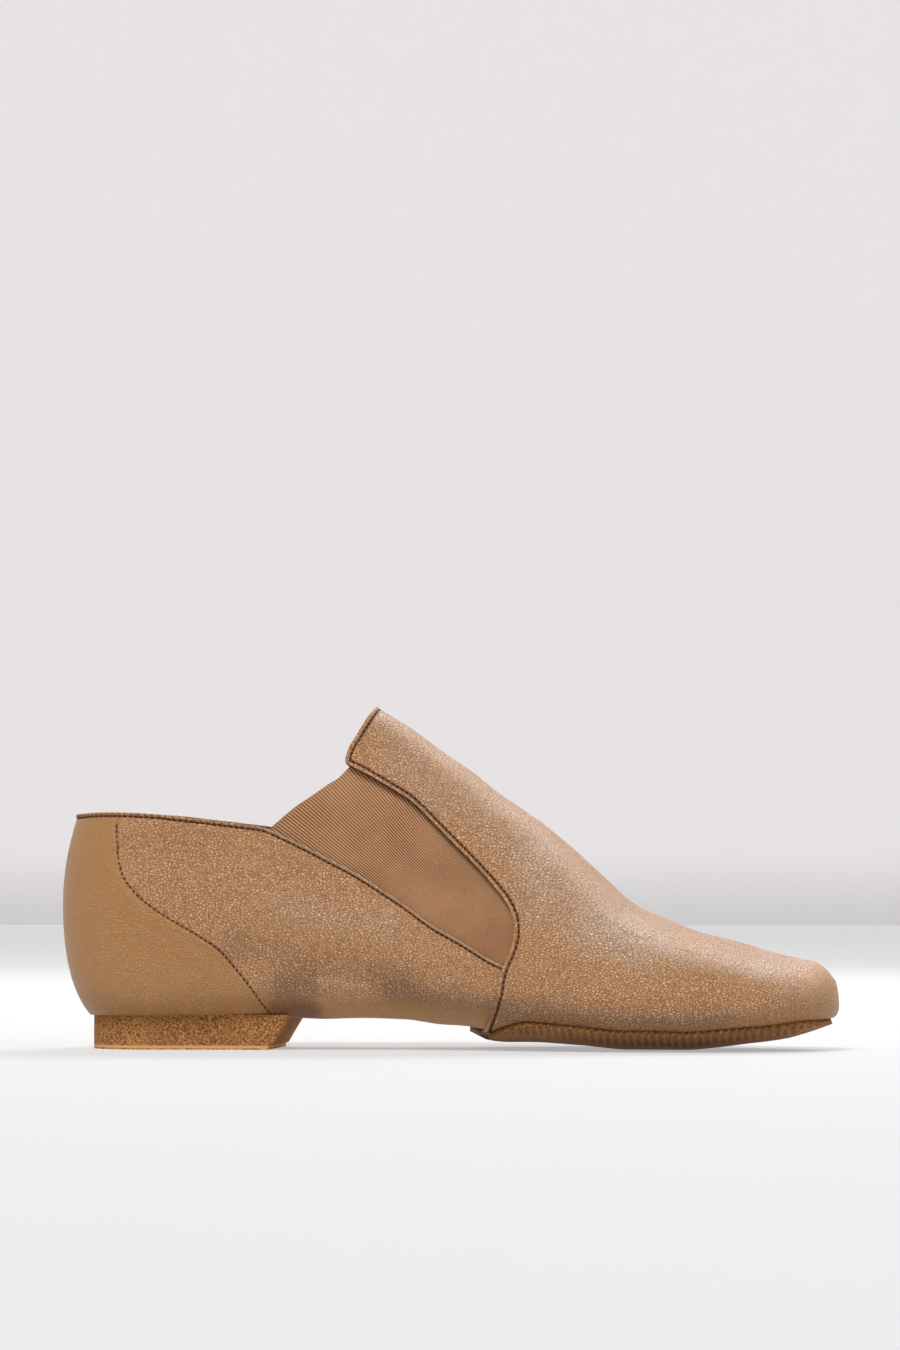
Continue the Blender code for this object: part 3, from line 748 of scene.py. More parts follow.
def leather(name, cell, grain, roughness):
    """Soft tan leather. Marks on the mesh: counter is 1 where it is smooth, edge and seam are
    distances in millimetres from a folded edge and from the counter's seam."""
    material, tree, shader = new_material(name)
    place = add(tree, "ShaderNodeTexCoord").outputs["Object"]
    drawn_out = add(tree, "ShaderNodeVectorMath", operation="MULTIPLY")
    tree.links.new(place, drawn_out.inputs[0])
    drawn_out.inputs[1].default_value = (0.78, 1.0, 1.18)
    pebble = use(tree, PEBBLE, Place=drawn_out.outputs[0], Cell=cell)
    patch = use(tree, PATCHES, Place=place, Size=34.0)["Patch"]
    small_patch = use(tree, PATCHES, Place=place, Size=6.0)["Patch"]
    counter = mesh_mark(tree, "counter")
    edge = mesh_mark(tree, "edge")
    seam = mesh_mark(tree, "seam")
    colour = blend(tree, sums(tree, "MULTIPLY", patch, 0.35), TAN, TAN_WARM)
    colour = blend(tree, sums(tree, "MULTIPLY", small_patch, 0.08), colour, TAN_PATCH_AND_HIGHLIGHT)
    colour = blend(tree, sums(tree, "MULTIPLY", counter, 0.9), colour, TAN_SMOOTH)
    # Painted shade where the shade mark is over 0, painted highlight where it is under 0
    shade = mesh_mark(tree, "shade")
    light = sums(tree, "MULTIPLY", shade, -1.0)
    colour = blend(tree, ramp(tree, shade, 0.0, 1.0, 0.0, 1.0), colour, TAN_PAINTED_SHADE)
    colour = blend(tree, ramp(tree, light, 0.0, 1.0, 0.0, 1.0), colour, TAN_PAINTED_HIGHLIGHT)
    # Painted shade in the grain's valleys, weaker on the smooth counter
    valley = ramp(tree, pebble["Valley"], 0.30, 0.95)
    valley_shade = sums(tree, "MULTIPLY", valley, ramp(tree, counter, 0.0, 1.0, 0.60, 0.18))
    colour = blend(tree, valley_shade, colour, TAN_PAINTED_SHADE)
    # Painted highlight on the tops of the grain, weaker on the smooth counter
    top = ramp(tree, pebble["Height"], 0.75, 1.05)
    top = sums(tree, "MULTIPLY", top, ramp(tree, counter, 0.0, 1.0, 0.34, 0.04))
    colour = blend(tree, top, colour, TAN_PATCH_AND_HIGHLIGHT)
    # Painted shade in the stitch groove by a folded edge and along the counter's seam groove
    from_groove = sums(tree, "ABSOLUTE", sums(tree, "SUBTRACT", edge, GROOVE_AT))
    colour = blend(tree, ramp(tree, from_groove, 0.10, 0.60, 0.78, 0.0), colour, TAN_GROOVE_SHADE)
    colour = blend(tree, ramp(tree, seam, 0.05, 0.75, 0.6, 0.0), colour, TAN_GROOVE_SHADE)
    # Painted highlight along the quarter's folded rim by the gore
    pale = sums(tree, "MULTIPLY", ramp(tree, edge, 0.15, 0.55, 0.75, 0.0), mesh_mark(tree, "pale"))
    colour = blend(tree, pale, colour, RIM_PAINTED_HIGHLIGHT)
    tree.links.new(colour, shader.inputs["Base Color"])
    gloss = ramp(tree, pebble["Pores"], 0.3, 0.7, roughness - 0.05, roughness + 0.08)
    tree.links.new(gloss, shader.inputs["Roughness"])
    raised = sums(tree, "MULTIPLY", pebble["Height"], ramp(tree, counter, 0.0, 1.0, 1.0, 0.30))
    raise_by(tree, shader, raised, grain, GRAIN_RAISE)
    shader.inputs["Specular IOR Level"].default_value = LEATHER_SHINE
    return material


def cloth(name, colour, deep, size, roughness, depth, low=None):
    """A close cloth or brushed face: fine noise in its colour and height. low gives two heights in
    millimetres and the colour that it has below them."""
    material, tree, shader = new_material(name)
    place = add(tree, "ShaderNodeTexCoord").outputs["Object"]
    noise = add(tree, "ShaderNodeTexNoise", Vector=place, Scale=1000.0 / size, Detail=4.0, Roughness=0.65)
    patch = use(tree, PATCHES, Place=place, Size=18.0)["Patch"]
    if low:
        height = add(tree, "ShaderNodeSeparateXYZ", Vector=place).outputs["Z"]
        colour = blend(tree, ramp(tree, height, low[0] * MM, low[1] * MM), low[2], colour)
    mixed = blend(tree, ramp(tree, noise.outputs["Fac"], 0.35, 0.68, 1.0, 0.0), colour, deep)
    mixed = blend(tree, sums(tree, "MULTIPLY", patch, 0.25), mixed, deep)
    tree.links.new(mixed, shader.inputs["Base Color"])
    shader.inputs["Roughness"].default_value = roughness
    shader.inputs["Specular IOR Level"].default_value = CLOTH_SHINE
    raise_by(tree, shader, noise.outputs["Fac"], depth, CLOTH_RAISE)
    return material


def elastic(name):
    """Ribbed elastic; the rib's height is a mark on the mesh."""
    material, tree, shader = new_material(name)
    place = add(tree, "ShaderNodeTexCoord").outputs["Object"]
    rib = mesh_mark(tree, "rib")
    patch = use(tree, PATCHES, Place=place, Size=22.0)["Patch"]
    fibre = add(tree, "ShaderNodeTexNoise", Vector=place, Scale=2600.0, Detail=3.0)
    # Painted shade in the rib hollows and painted highlight on the rib crests; the fibre noise below is the
    # cloth's own
    colour = blend(tree, ramp(tree, rib, 0.15, 0.72), ELASTIC_DEEP, ELASTIC_TAN)
    colour = blend(tree, ramp(tree, rib, 0.78, 1.0, 0.0, 0.45), colour, ELASTIC_CREST_HIGHLIGHT)
    colour = blend(tree, ramp(tree, fibre.outputs["Fac"], 0.35, 0.65, 0.0, 0.25), colour, ELASTIC_DEEP)
    colour = blend(tree, sums(tree, "MULTIPLY", patch, 0.15), colour, TAN)
    tree.links.new(colour, shader.inputs["Base Color"])
    shader.inputs["Roughness"].default_value = 0.75
    shader.inputs["Sheen Weight"].default_value = 0.15
    raise_by(tree, shader, fibre.outputs["Fac"], 0.6, FIBRE_RAISE)
    return material


LEATHER = leather("tan_leather", 0.86, 1.0, 0.38)
LINING = cloth("lining_cloth", LINING_TAN, (0.06, 0.03, 0.016), 0.7, 0.85, 0.4)
ELASTIC_CLOTH = elastic("ribbed_elastic")
DARK_THREAD = cloth("dark_thread", THREAD, (0.03, 0.012, 0.006), 0.25, 0.7, 0.3)
LIGHT_THREAD = cloth("light_thread", THREAD_LIGHT, (0.16, 0.08, 0.04), 0.25, 0.65, 0.3)
SOLE_LEATHER = cloth("sole_leather", SOLE_BROWN, SOLE_DEEP, 0.8, 0.6, 0.5, (1.6, 6.5, SOLE_DARK))
HEEL_SUEDE = cloth("heel_suede", HEEL_TAN, HEEL_DEEP, 0.6, 0.9, 1.0)
LIFT_RUBBER = cloth("lift_rubber", LIFT_TAN, HEEL_TAN, 0.9, 0.75, 0.5, (0.35, 0.65, SOLE_DARK))
SOCK_CLOTH = cloth("sock_cloth", (0.40, 0.25, 0.15), (0.26, 0.15, 0.08), 0.5, 0.9, 0.4)


# The leather quarters: rows run down from the top edge, columns from one side round the heel

QUARTER_FRONT = 0.612
QUARTER_THICK = 1.1
QUARTER_ROWS = 150
QUARTER_FINE = 0.0016
RING_SAMPLES = 400
INSIDE_STEP = 3
COUNTER_GROOVE = 0.22
COUNTER_GROOVE_WIDTH = 0.45
COUNTER_BLUR = 0.6

# Creases fade out this near to an edge. The leather is smoother low down and at the toe. The quarter's rim
# by the gore has a painted highlight from PALE_FROM on.
CREASE_CLEAR = 6.0
SMOOTH_FADE = 0.06
QUARTER_SMOOTH_UNDER = 0.115
VAMP_SMOOTH_UNDER = 0.075
TOE_SMOOTH_FROM = 0.90
TOE_SMOOTH_FADE = 0.08
PALE_FROM = 0.262
PALE_FADE = 0.02
QUARTER_LOW_SMOOTH = 0.85
VAMP_LOW_SMOOTH = 0.8
TOE_SMOOTH = 0.75


def quarter_top(place):
    line = drawn(QUARTER_TOP, 8)
    return np.interp(place, line[:, 0], line[:, 1])


def column_places():
    """Rings for the columns of one side, from the heel's back forwards."""
    heel = HEEL_ROUND * (1 - np.cos(np.linspace(0, np.pi / 2, 30)))
    side = np.linspace(HEEL_ROUND, QUARTER_FRONT, 150)[1:]
    return np.concatenate([np.maximum(heel, END_CLEAR), side])


def top_of_column(at):
    """Height of the top edge on a ring, with the curve of the back allowed for."""
    height = quarter_top(at)
    for _ in range(12):
        back = back_in(height) * np.clip(1 - at / BACK_FADE, 0, 1) ** 2
        height = quarter_top((at + back) * (LENGTH - VAMP_STEP) / LENGTH)
    return height


def rows_from_edge(count, fine=0.004):
    """Shares of a line's length, close together where it starts."""
    t = np.linspace(0, 1, count)
    return (1 - fine * count) * t**1.6 + fine * count * t


def make_quarters():
    at = column_places()
    height = top_of_column(at)
    shares = rows_from_edge(QUARTER_ROWS, QUARTER_FINE)
    columns = []
    for side, order in ((-1, slice(None, None, -1)), (1, slice(None))):
        for ring, top in zip(at[order], height[order]):
            turns = np.linspace(float(turn_for(ring, top, side)), under_turn(side), RING_SAMPLES)
            run = run_of(skin(np.full(RING_SAMPLES, ring), turns)[0])
            columns.append((ring, np.interp(shares * run[-1], run, turns)))
    rings = np.array([c[0] for c in columns])[:, None] * np.ones(len(shares))
    turns = np.array([c[1] for c in columns])
    places, heights = side_view(rings, turns)
    behind = distance_to(places, heights, drawn(COUNTER_LINE))
    top = np.abs(distance_to(places, heights, drawn(QUARTER_TOP))) * GROOVE_AT / QUARTER_STITCH_AT
    seam_groove = np.exp(-((behind / COUNTER_GROOVE_WIDTH) ** 2))
    creased = laid_on(CREASES, places, heights) * np.clip(top / CREASE_CLEAR, 0, 1) ** 2
    outside, facing = skin(rings, turns, folded(top) - creased - COUNTER_GROOVE * seam_groove)
    base, _ = skin(rings, turns, -creased)
    points, kept = wrapped(outside, base - QUARTER_THICK * facing, facing, QUARTER_THICK)
    count = points.shape[1]
    counter = np.clip(0.5 + 0.5 * np.tanh(-behind / COUNTER_BLUR), 0, 1)
    low = np.clip((QUARTER_SMOOTH_UNDER - heights) / SMOOTH_FADE, 0, 1)
    marks = {
        "counter": both_faces(np.maximum(counter, QUARTER_LOW_SMOOTH * low), count),
        "edge": both_faces(top, count),
        "seam": both_faces(np.abs(behind), count),
        # Where the rim's painted highlight is laid on: from PALE_FROM forwards
        "pale": both_faces(np.clip((places - PALE_FROM) / PALE_FADE, 0, 1), count),
        # Painted shade, and painted highlight where it is under 0
        "shade": both_faces(laid_on(PAINTED_SHADE_AND_LIGHT, places, heights), count),
    }
    faces = grid_faces(len(columns), count)
    row = np.tile(np.arange(count - 1), len(columns) - 1)
    kinds = np.where(row < kept + 1, 1, 0)
    points, faces, marks, which = weld(points.reshape(-1, 3), faces, marks)
    leathers = [LEATHER, LINING]
    return piece("quarters", points, faces, leathers, ["upper"], kinds[which], marks)


def inside_rows(rows):
    """The rows that the plain inside keeps: one in a few, and the last."""
    return np.unique(np.append(np.arange(0, rows, INSIDE_STEP), rows - 1))


def both_faces(values, count):
    """A mark for the points of a profile that runs inside, round the rim and outside."""
    rows = values.shape[1]
    picks = inside_rows(rows)
    edge = np.repeat(values[:, :1], count - rows - len(picks), axis=1)
    return np.concatenate([values[:, picks[::-1]], edge, values], axis=1).ravel()


# The vamp: columns go round the ring, rows run from its rear border to the toe

VAMP_THICK = 1.7
VAMP_BOTTOM = 0.552
VAMP_ROWS = 180
VAMP_FINE = 0.0014
VAMP_COLUMNS = 150
BALL_RING = 0.72
TOE_ROWS_FROM = 0.80


def vamp_rear():
    """The vamp's rear border in the side view, from the seam's foot to the throat's top."""
    return np.vstack([drawn(SEAM)[::-1], drawn(VAMP_EDGE)[1:], drawn(THROAT)[1:]])


def vamp_border(side):
    """Rear border of the vamp on one side: ring places against turns, in order of turn."""
    line = vamp_rear()
    at = at_for(line[:, 0], line[:, 1])
    keep = line[:, 1] < smooth(RIDGE, "height", at)
    at, height = at[keep], line[keep, 1]
    turn = turn_for(at, height, side)
    ridge_at = at[-1] + (at[-1] - at[-2]) * 0.5
    at = np.concatenate([[VAMP_BOTTOM, VAMP_BOTTOM], at, [ridge_at]])
    turn = np.concatenate([[under_turn(side), turn[0]], turn, [RIDGE_TURN]])
    order = np.argsort(turn)
    return at[order], turn[order]


def make_vamp():
    shares = rows_from_edge(VAMP_ROWS, VAMP_FINE)
    turns = []
    starts = []
    for side in (1, -1):
        at, turn = vamp_border(side)
        run = run_of(skin(at, turn)[0])
        goal = np.linspace(0, run[-1], VAMP_COLUMNS)
        # Half of each turn comes from the ring at the ball, so that the toe is as even as the border.
        ball = np.linspace(turn[0], turn[-1], RING_SAMPLES)
        ball_run = run_of(skin(np.full(RING_SAMPLES, BALL_RING), ball)[0])
        mixed = np.interp(goal / run[-1] * ball_run[-1], ball_run, ball)
        mixed = 0.5 * np.interp(goal, run, turn) + 0.5 * mixed
        turns.append(mixed if side > 0 else mixed[1:])
        starts.append(np.interp(turns[-1], turn, at))
    turns = np.concatenate(turns)
    starts = np.concatenate(starts)
    rings = starts[:, None] + (1 - END_CLEAR - starts[:, None]) * shares[None, :]
    around = turns[:, None] + 0 * rings
    # Rows close up towards the toe, where the last rounds off.
    reach = 1 - TOE_ROWS_FROM
    end = np.clip((rings - TOE_ROWS_FROM) / reach, 0, 1)
    closed_up = TOE_ROWS_FROM + (reach - END_CLEAR) * np.sin(end * np.pi / 2)
    rings = np.where(rings > TOE_ROWS_FROM, closed_up, rings)
    places, heights = side_view(rings, around)
    near = np.abs(distance_to(places, heights, vamp_rear())) * GROOVE_AT / VAMP_STITCH_AT
    creased = laid_on(CREASES, places, heights) * np.clip(near / CREASE_CLEAR, 0, 1) ** 2
    outside, facing = skin(rings, around, VAMP_STEP + folded(near) - creased)
    base, _ = skin(rings, around, VAMP_STEP - creased)
    points, kept = wrapped(outside, base - VAMP_THICK * facing, facing, VAMP_THICK)
    count = points.shape[1]
    columns = len(turns)
    low = np.clip((VAMP_SMOOTH_UNDER - heights) / SMOOTH_FADE, 0, 1)
    toe = np.clip((places - TOE_SMOOTH_FROM) / TOE_SMOOTH_FADE, 0, 1)
    marks = {
        "counter": both_faces(np.maximum(VAMP_LOW_SMOOTH * low, TOE_SMOOTH * toe), count),
        "edge": both_faces(near, count),
        "seam": np.full(columns * count, 9.0),
        # Painted shade, and painted highlight where it is under 0
        "shade": both_faces(laid_on(PAINTED_SHADE_AND_LIGHT, places, heights), count),
    }
    faces = grid_faces(columns, count).tolist()
    row = np.tile(np.arange(count - 1), columns - 1)
    kinds = np.where(row < kept + 3, 1, 0).tolist()
    # The last rows of the two sides are sewn together across the nose.
    for last, kind in ((count - 1, 0), (0, 1)):
        line = [c * count + last for c in range(columns)]
        half = columns // 2
        for k in range(half):
            a, b = line[k], line[k + 1]
            c, d = line[columns - 2 - k], line[columns - 1 - k]
            if a != d and b != c:
                faces.append([a, b, c, d])
                kinds.append(kind)
    points, faces, marks, which = weld(points.reshape(-1, 3), faces, marks)
    kinds = np.array(kinds)[which]
    return piece("vamp", points, faces, [LEATHER, LINING], ["upper"], kinds, marks)


# The elastic gores

# The ribs run like a fan: their lines meet in front of the gore and below it, at a place and height
# in millimetres.
RIB_MEET = (189.0, -18.0)
RIBS_A_RADIAN = 159.0
RIB_HEIGHT = 0.20
GORE_OUT = -1.35
GORE_THICK = 1.1


def make_gore(name, side, rows, columns):
    edge = drawn(VAMP_EDGE)
    quarter = drawn(ALONG_GORE)
    # Both laps stop a stretch short of the seam, where the elastic ends blunt.
    vamp_line = evenly(shifted(edge[::-1], -ELASTIC_LAP)[1:-6], columns)
    quarter_line = evenly(shifted(quarter, ELASTIC_LAP)[1:-6], columns)
    top = drawn(GORE_TOP)
    across = evenly(top[::-1], rows)
    s = np.linspace(0, 1, rows)[:, None, None]
    t = np.linspace(0, 1, columns)[None, :, None]
    tip = vamp_line[-1] + (quarter_line[-1] - vamp_line[-1]) * s[:, 0]
    vamp_line = vamp_line + (across[0] - vamp_line[0]) * (1 - t[0]) ** 3
    quarter_line = quarter_line + (across[-1] - quarter_line[0]) * (1 - t[0]) ** 3
    sides = (1 - s) * vamp_line[None] + s * quarter_line[None]
    ends = (1 - t) * across[:, None] + t * tip[:, None]
    corners = (1 - s) * ((1 - t) * across[0] + t * vamp_line[-1])
    corners = corners + s * ((1 - t) * across[-1] + t * quarter_line[-1])
    flat = sides + ends - corners
    rings = at_for(flat[..., 0], flat[..., 1])
    turns = turn_for(rings, flat[..., 1], side)
    base, facing = skin(rings, turns, GORE_OUT)
    fan = np.arctan2(base[..., 2] - RIB_MEET[1], RIB_MEET[0] - base[..., 0])
    rib = 0.5 + 0.5 * np.cos(2 * np.pi * fan * RIBS_A_RADIAN)
    outside = base + facing * ((rib - 1) * RIB_HEIGHT)[..., None]
    inside = base - facing * (GORE_THICK - (rib - 1) * RIB_HEIGHT)[..., None]
    points, faces = closed_sheet(outside, inside)
    marks = {"rib": np.concatenate([rib.ravel(), rib.ravel()])}
    return piece(name + "_elastic", points, faces, [ELASTIC_CLOTH], [name], None, marks)


# Stitches: rings and sides of each one, how much wider than high it is, and its ends' thickness

STITCH_RINGS = 7
STITCH_SIDES = 8
STITCH_FLAT = 1.15
STITCH_END = 0.35
THREAD_PITCH = 2.2
THREAD_SLANT = 1.3
# A thread's way over the collar: distance under the top edge, how far out, and how far up
THREAD_COURSE = ((1.05, 0.10, 0.0), (0.35, FOLD_RISE + 0.05, 0.0), (0.0, -0.10, 0.45))
COLLAR_FRONT = 0.278


def stitch_rows(name, rows, material, length=1.25, space=0.50, thick=0.50, lift=0.12):
    """Rows of stitches as one mesh. A row is (points, ways that they face)."""
    points = []
    faces = []
    for line, facing in rows:
        run = run_of(line)
        count = int(run[-1] / (length + space))
        for k in range(count):
            t = np.linspace(-1, 1, STITCH_RINGS)
            stations = (k + 0.5) * run[-1] / count + t / 2 * length
            centre = np.stack([np.interp(stations, run, c) for c in line.T], axis=1)
            up = np.stack([np.interp(stations, run, c) for c in facing.T], axis=1)
            up = up / np.linalg.norm(up, axis=1)[:, None]
            ahead = np.gradient(centre, axis=0)
            ahead = ahead / np.linalg.norm(ahead, axis=1)[:, None]
            beside = np.cross(up, ahead) * STITCH_FLAT
            arch = np.sqrt(np.clip(1 - t**4, 0, 1))
            centre = centre + up * (lift + thick * 0.5 * (arch - 1))[:, None]
            size = thick / 2 * np.clip(arch, STITCH_END, 1)
            start = len(points)
            for c, u, b, r in zip(centre, up, beside, size):
                for angle in np.linspace(0, 2 * np.pi, STITCH_SIDES, endpoint=False):
                    points.append(c + r * (math.cos(angle) * b + math.sin(angle) * u))
            last = start + (STITCH_RINGS - 1) * STITCH_SIDES
            for ring in range(start, last, STITCH_SIDES):
                for j in range(STITCH_SIDES):
                    a = ring + j
                    b = ring + (j + 1) % STITCH_SIDES
                    faces.append((a, b, b + STITCH_SIDES, a + STITCH_SIDES))
            faces.append(tuple(range(start + STITCH_SIDES - 1, start - 1, -1)))
            faces.append(tuple(range(last, last + STITCH_SIDES)))
    return piece(name, points, faces, [material], [])


def side_row(line, side, out):
    """A line of the side view laid on the shoe: points and the ways that they face."""
    at = at_for(line[:, 0], line[:, 1])
    return skin(at, turn_for(at, line[:, 1], side), out)


def both_sides(line, out):
    return [side_row(line, side, out) for side in (-1, 1)]


def round_collar(below, out):
    """A line round the heel at a distance in millimetres under the top edge, and the ways that it
    faces, from the inner side to the outer side."""
    rings = column_places()
    rings = rings[rings < COLLAR_FRONT]
    height = top_of_column(rings) - below / INSTEP_HEIGHT
    inner, outer = [skin(rings, turn_for(rings, height, side), out) for side in (-1, 1)]
    return [np.vstack([a[::-1], b]) for a, b in zip(inner, outer)]


def make_stitching():
    vamp_out = VAMP_STEP - GROOVE_DEPTH
    quarter = shifted(drawn(ALONG_GORE), QUARTER_STITCH_AT)[2:-2]
    vamp = shifted(drawn(VAMP_EDGE), VAMP_STITCH_AT)[1:-1]
    seam = shifted(drawn(SEAM)[::-1], VAMP_STITCH_AT)
    counter = both_sides(drawn(COUNTER_LINE)[4:-1], -COUNTER_GROOVE)
    stitch_rows("counter_stitches", counter, DARK_THREAD, 1.2, 0.5, 0.44, 0.12)
    stitch_rows("quarter_edge_stitches", both_sides(quarter, -GROOVE_DEPTH), DARK_THREAD)
    stitch_rows("vamp_edge_stitches", both_sides(vamp, vamp_out), DARK_THREAD)
    stitch_rows("seam_stitches", both_sides(seam, vamp_out), DARK_THREAD)
    stitch_rows("topline_stitches", [round_collar(QUARTER_STITCH_AT, -GROOVE_DEPTH)], DARK_THREAD)
    throat = shifted(drawn(THROAT), VAMP_STITCH_AT)
    at = at_for(throat[:, 0], throat[:, 1])
    keep = throat[:, 1] < smooth(RIDGE, "height", at)
    at = at[keep]
    height = throat[keep, 1]
    outer, inner = [skin(at, turn_for(at, height, side), vamp_out) for side in (1, -1)]
    over = [np.vstack([a[1:], b[:0:-1]]) for a, b in zip(outer, inner)]
    stitch_rows("throat_stitches", [over], DARK_THREAD)


def edge_threads():
    """Threads that wind over the collar's top edge, round the heel from front to front."""
    lines = []
    for below, out, rise in THREAD_COURSE:
        line, facing = round_collar(below, out)
        lines.append((line + (0, 0, rise), facing))
    base = lines[0][0]
    run = run_of(base)
    rows = []
    for start in np.arange(0.5, run[-1] - THREAD_SLANT, THREAD_PITCH):
        points = []
        facing = []
        for (line, ways), ahead in zip(lines, (0.0, 0.5, 1.0)):
            place = start + ahead * THREAD_SLANT
            points.append([np.interp(place, run, c) for c in line.T])
            facing.append([np.interp(place, run, c) for c in ways.T])
        rows.append((np.array(points), np.array(facing)))
    stitch_rows("collar_edge_threads", rows, LIGHT_THREAD, 1.5, 0.05, 0.42, 0.05)


# Sole, sock and heel

def sheet_piece(name, inner, outer, shares, low, high, material, nodes, columns=81):
    """A closed sheet along the underside, rows from the rear to the front."""
    across = np.linspace(-1, 1, columns)
    at = inner[:, None] + (outer - inner)[:, None] * (across + 1) / 2
    share = across[None, :] * shares[:, None]
    points, faces = closed_sheet(low(at, share), high(at, share))
    return piece(name, points, faces, [material], nodes)


PLEAT_PITCH = 2.3
PLEAT_DEPTH = 0.36
PLEAT_SLANT = 0.55
# The pad's rim is drawn in under the shoe towards its two ends.
PAD_DRAWN_IN = 0.09


def make_forepart_sole():
    """The gathered pad: its rim is drawn up in small slanting pleats."""
    t = np.linspace(0, 1, 420)
    t = 0.4 * t + 0.3 * (1 - np.cos(np.pi * t))
    inner = PAD_REAR_INNER + (PAD_FRONT - PAD_REAR_INNER) * t
    outer = PAD_REAR_OUTER + (PAD_FRONT - PAD_REAR_OUTER) * t
    shares = PAD_SHARE * (1 - PAD_REAR_LOSS * round_in(1 - t / PAD_REAR_ROUND, 2.0))
    shares = shares * (1 - PAD_FRONT_LOSS * round_in(1 - (1 - t) / PAD_FRONT_ROUND, 2.0))
    shares = shares * (1 - PAD_DRAWN_IN * (2 * t - 1) ** 2)

    def pleats(at, share, slant):
        wave = np.cos(2 * np.pi * (at * LENGTH / PLEAT_PITCH + slant))
        return (wave - 1) * PLEAT_DEPTH * np.clip((np.abs(share) - 0.78 * PAD_SHARE) / 0.05, 0, 1)

    def under(at, share):
        rim_in = round_in((np.abs(share) / PAD_SHARE - PAD_RIM_FROM) / (1 - PAD_RIM_FROM), 2.0)
        ends = np.clip(np.minimum(at - PAD_REAR_OUTER, PAD_FRONT - at) / PAD_THIN, 0, 1)
        thick = PAD_RIM + (PAD - PAD_RIM) * (1 - rim_in) * ends
        point = low_point(at, share, VAMP_STEP + GAP + thick + pleats(at, share, 0))
        point[..., 2] = np.maximum(point[..., 2], 0)
        point[..., 1] = point[..., 1] + np.sign(share) * pleats(at, share, 0)
        return point

    def over(at, share):
        point = low_point(at, share, VAMP_STEP + 0.1)
        point[..., 1] = point[..., 1] + np.sign(share) * pleats(at, share, PLEAT_SLANT)
        return point

    nodes = ["outsole_forepart"]
    return sheet_piece(
        "forepart_sole", inner, outer, shares, under, over, SOLE_LEATHER, nodes)


# The sock fits inside the CAD insole's outline, whose ends are rounded off
SOCK_FIT = 0.985
SOCK_HEEL_ROUND = 0.02
SOCK_HEEL_LOSS = 0.6
SOCK_TOE_ROUND = 0.04
SOCK_TOE_LOSS = 0.5


def make_sock():
    t = np.linspace(0, 1, 120)
    at = INSOLE_START + (INSOLE_END - INSOLE_START) * (1 - np.cos(np.pi * t)) / 2
    heel_end = 1 - SOCK_HEEL_LOSS * round_in(1 - (at - INSOLE_START) / SOCK_HEEL_ROUND, 2.0)
    toe_end = 1 - SOCK_TOE_LOSS * round_in(1 - (INSOLE_END - at) / SOCK_TOE_ROUND, 2.0)
    shares = INSOLE_SHARE * heel_end * toe_end * SOCK_FIT

    def under(place, share):
        return low_point(place, share, -WALL - GAP)

    def over(place, share):
        return low_point(place, share, -WALL - GAP - INSOLE)

    return sheet_piece("insole_sock", at, at, shares, under, over, SOCK_CLOTH, ["insole"], 41)


def lofted(name, outlines, levels, material, nodes):
    """A solid through plan outlines at levels, its rims closed by flat caps."""
    count = len(outlines[0])
    rings = [np.column_stack([o, np.broadcast_to(z, count)]) for o, z in zip(outlines, levels)]
    points = np.concatenate(rings)
    faces = []
    for i in range(len(outlines) - 1):
        for j in range(count):
            a, b = i * count + j, i * count + (j + 1) % count
            faces.append((a, b, b + count, a + count))
    faces.append(tuple(range(count - 1, -1, -1)))
    faces.append(tuple((len(outlines) - 1) * count + j for j in range(count)))
    return piece(name, points, faces, [material], nodes, flat=True)


def full_outline(front):
    """The heel's plan with points across the breast too."""
    line = heel_outline(front, 60)
    breast = np.linspace(line[-1], line[0], 26)[1:-1]
    return np.vstack([line, breast])


# The block goes this far up into the seat, and the lift reaches up to the block
HEEL_SUNK = 0.6
LIFT_LEVELS = (0.0, 0.33, 0.67, LIFT + GAP)


def make_heel():
    front = HEEL_BACK + HEEL_LENGTH
    foot = LIFT + GAP
    levels = np.linspace(foot, HEEL_HEIGHT + HEEL_SUNK, 24)
    outlines = [full_outline(front + BREAST_LEAN * z) for z in levels]
    lofted("heel_block_suede", outlines, levels, HEEL_SUEDE, ["heel_block"])
    plans = [full_outline(front)] * len(LIFT_LEVELS)
    lofted("top_lift_slab", plans, LIFT_LEVELS, LIFT_RUBBER, ["heel_lift"])


# Stage: pale floor and wall, soft light, and the camera

FLOOR_GLOW = 1.1
FLOOR_NEAR = (0.350, 0.350, 0.350)
FLOOR_FAR = (0.285, 0.285, 0.285)
WALL_FOOT_SHADE = (0.590, 0.570, 0.576)
WALL_HIGH = (0.760, 0.730, 0.737)
STAGE_WIDTH = 14.0
FLOOR_MIDDLE = -1.8
WALL_HEIGHT = 6.0
WALL_BACK = 5.16


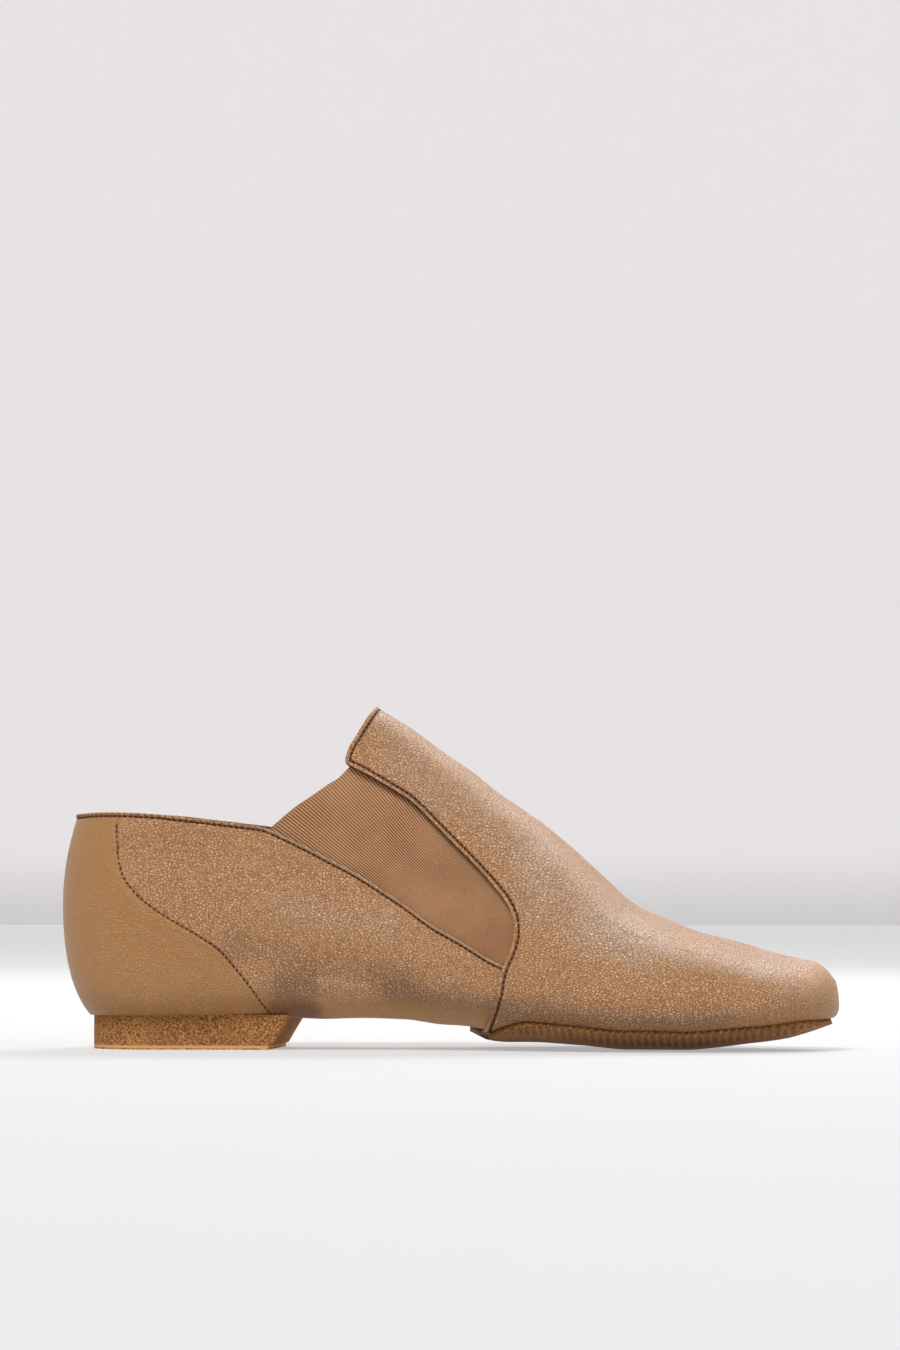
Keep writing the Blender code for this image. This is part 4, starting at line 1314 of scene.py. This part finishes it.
def make_stage():
    def slab(name, size, centre, turned, material):
        data = bpy.data.meshes.new(name)
        w, h = size[0] / 2, size[1] / 2
        data.from_pydata([(-w, -h, 0), (w, -h, 0), (w, h, 0), (-w, h, 0)], [], [(0, 1, 2, 3)])
        made = put_in(name, data, centre, (math.radians(90) if turned else 0, 0, 0))
        data.materials.append(material)

    floor_material, tree, shader = new_material("pale_floor")
    place = add(tree, "ShaderNodeTexCoord").outputs["Object"]
    depth = add(tree, "ShaderNodeSeparateXYZ", Vector=place).outputs["Y"]
    colour = blend(tree, ramp(tree, depth, 2.0, 6.0), FLOOR_NEAR, FLOOR_FAR)
    tree.links.new(colour, shader.inputs["Base Color"])
    tree.links.new(colour, shader.inputs["Emission Color"])
    shader.inputs["Emission Strength"].default_value = FLOOR_GLOW
    shader.inputs["Roughness"].default_value = 0.9
    shader.inputs["Specular IOR Level"].default_value = 0.1
    wall_material, tree, shader = new_material("pale_wall")
    place = add(tree, "ShaderNodeTexCoord").outputs["Object"]
    height = add(tree, "ShaderNodeSeparateXYZ", Vector=place).outputs["Y"]
    # Painted shade along the foot of the wall, where it meets the floor
    colour = blend(tree, ramp(tree, height, -3.0, -2.9), WALL_FOOT_SHADE, WALL_HIGH)
    tree.links.new(colour, shader.inputs["Base Color"])
    shader.inputs["Roughness"].default_value = 0.8
    slab("studio_floor", (STAGE_WIDTH, STAGE_WIDTH), (0, FLOOR_MIDDLE, 0), False, floor_material)
    slab("studio_wall", (STAGE_WIDTH, WALL_HEIGHT), (0, WALL_BACK, WALL_HEIGHT / 2), True, wall_material)


def look(place, aim):
    """Rotation of something at a place that points its -Z at an aim, its top up."""
    return (Vector(aim) - Vector(place)).to_track_quat("-Z", "Y").to_euler()


CAMERA_YAW = math.radians(6.0)
CAMERA_DISTANCE = 1.9
CAMERA_HEIGHT = 0.053
PHOTO_PIXEL = 0.3145 * MM
PHOTO_HEIGHT = 1350
AIM = (0.0002, 0.0, 0.1174)


def make_camera():
    data = bpy.data.cameras.new("camera")
    data.sensor_fit = "VERTICAL"
    data.sensor_height = 36.0
    data.lens = data.sensor_height * CAMERA_DISTANCE / (PHOTO_PIXEL * PHOTO_HEIGHT)
    data.clip_end = 60.0
    place = (
        AIM[0] + CAMERA_DISTANCE * math.sin(CAMERA_YAW),
        AIM[1] - CAMERA_DISTANCE * math.cos(CAMERA_YAW),
        CAMERA_HEIGHT,
    )
    bpy.context.scene.camera = put_in("camera", data, place, look(place, AIM))


def add_sun(name, place, strength, spread):
    data = bpy.data.lights.new(name, "SUN")
    data.energy = strength
    data.angle = math.radians(spread)
    put_in(name, data, place, look(place, (0, 0, 0)))


# A light from the front and above, a soft one from the toe's side, and a softbox behind for the
# sheen on the instep
FRONT_LIGHT = ((-0.25, -0.62, 1.0), 2.6, 22)
FILL_LIGHT = ((0.9, -0.9, 0.25), 0.6, 60)
SOFTBOX_WATTS = 17
SOFTBOX_SIZE = (1.4, 0.5)
SOFTBOX_PLACE = (0.4, 1.1, 1.0)
SOFTBOX_AIM = (0.05, 0, 0.05)
WORLD_LIGHT = 0.35


def make_lights():
    add_sun("front_light", *FRONT_LIGHT)
    add_sun("fill_light", *FILL_LIGHT)
    data = bpy.data.lights.new("sheen_softbox", "AREA")
    data.energy = SOFTBOX_WATTS
    data.shape = "RECTANGLE"
    data.size, data.size_y = SOFTBOX_SIZE
    put_in("sheen_softbox", data, SOFTBOX_PLACE, look(SOFTBOX_PLACE, SOFTBOX_AIM))
    view = bpy.context.scene.view_settings
    view.view_transform = "Standard"
    view.look = "None"
    world = bpy.data.worlds.new("studio")
    world.use_nodes = True
    world.node_tree.nodes["Background"].inputs[0].default_value = (1, 1, 1, 1)
    world.node_tree.nodes["Background"].inputs[1].default_value = WORLD_LIGHT
    bpy.context.scene.world = world


make_quarters()
make_vamp()
make_gore("gore_medial", -1, 200, 220)
make_gore("gore_lateral", 1, 120, 140)
make_stitching()
edge_threads()
make_forepart_sole()
make_sock()
make_heel()
make_stage()
make_lights()
make_camera()
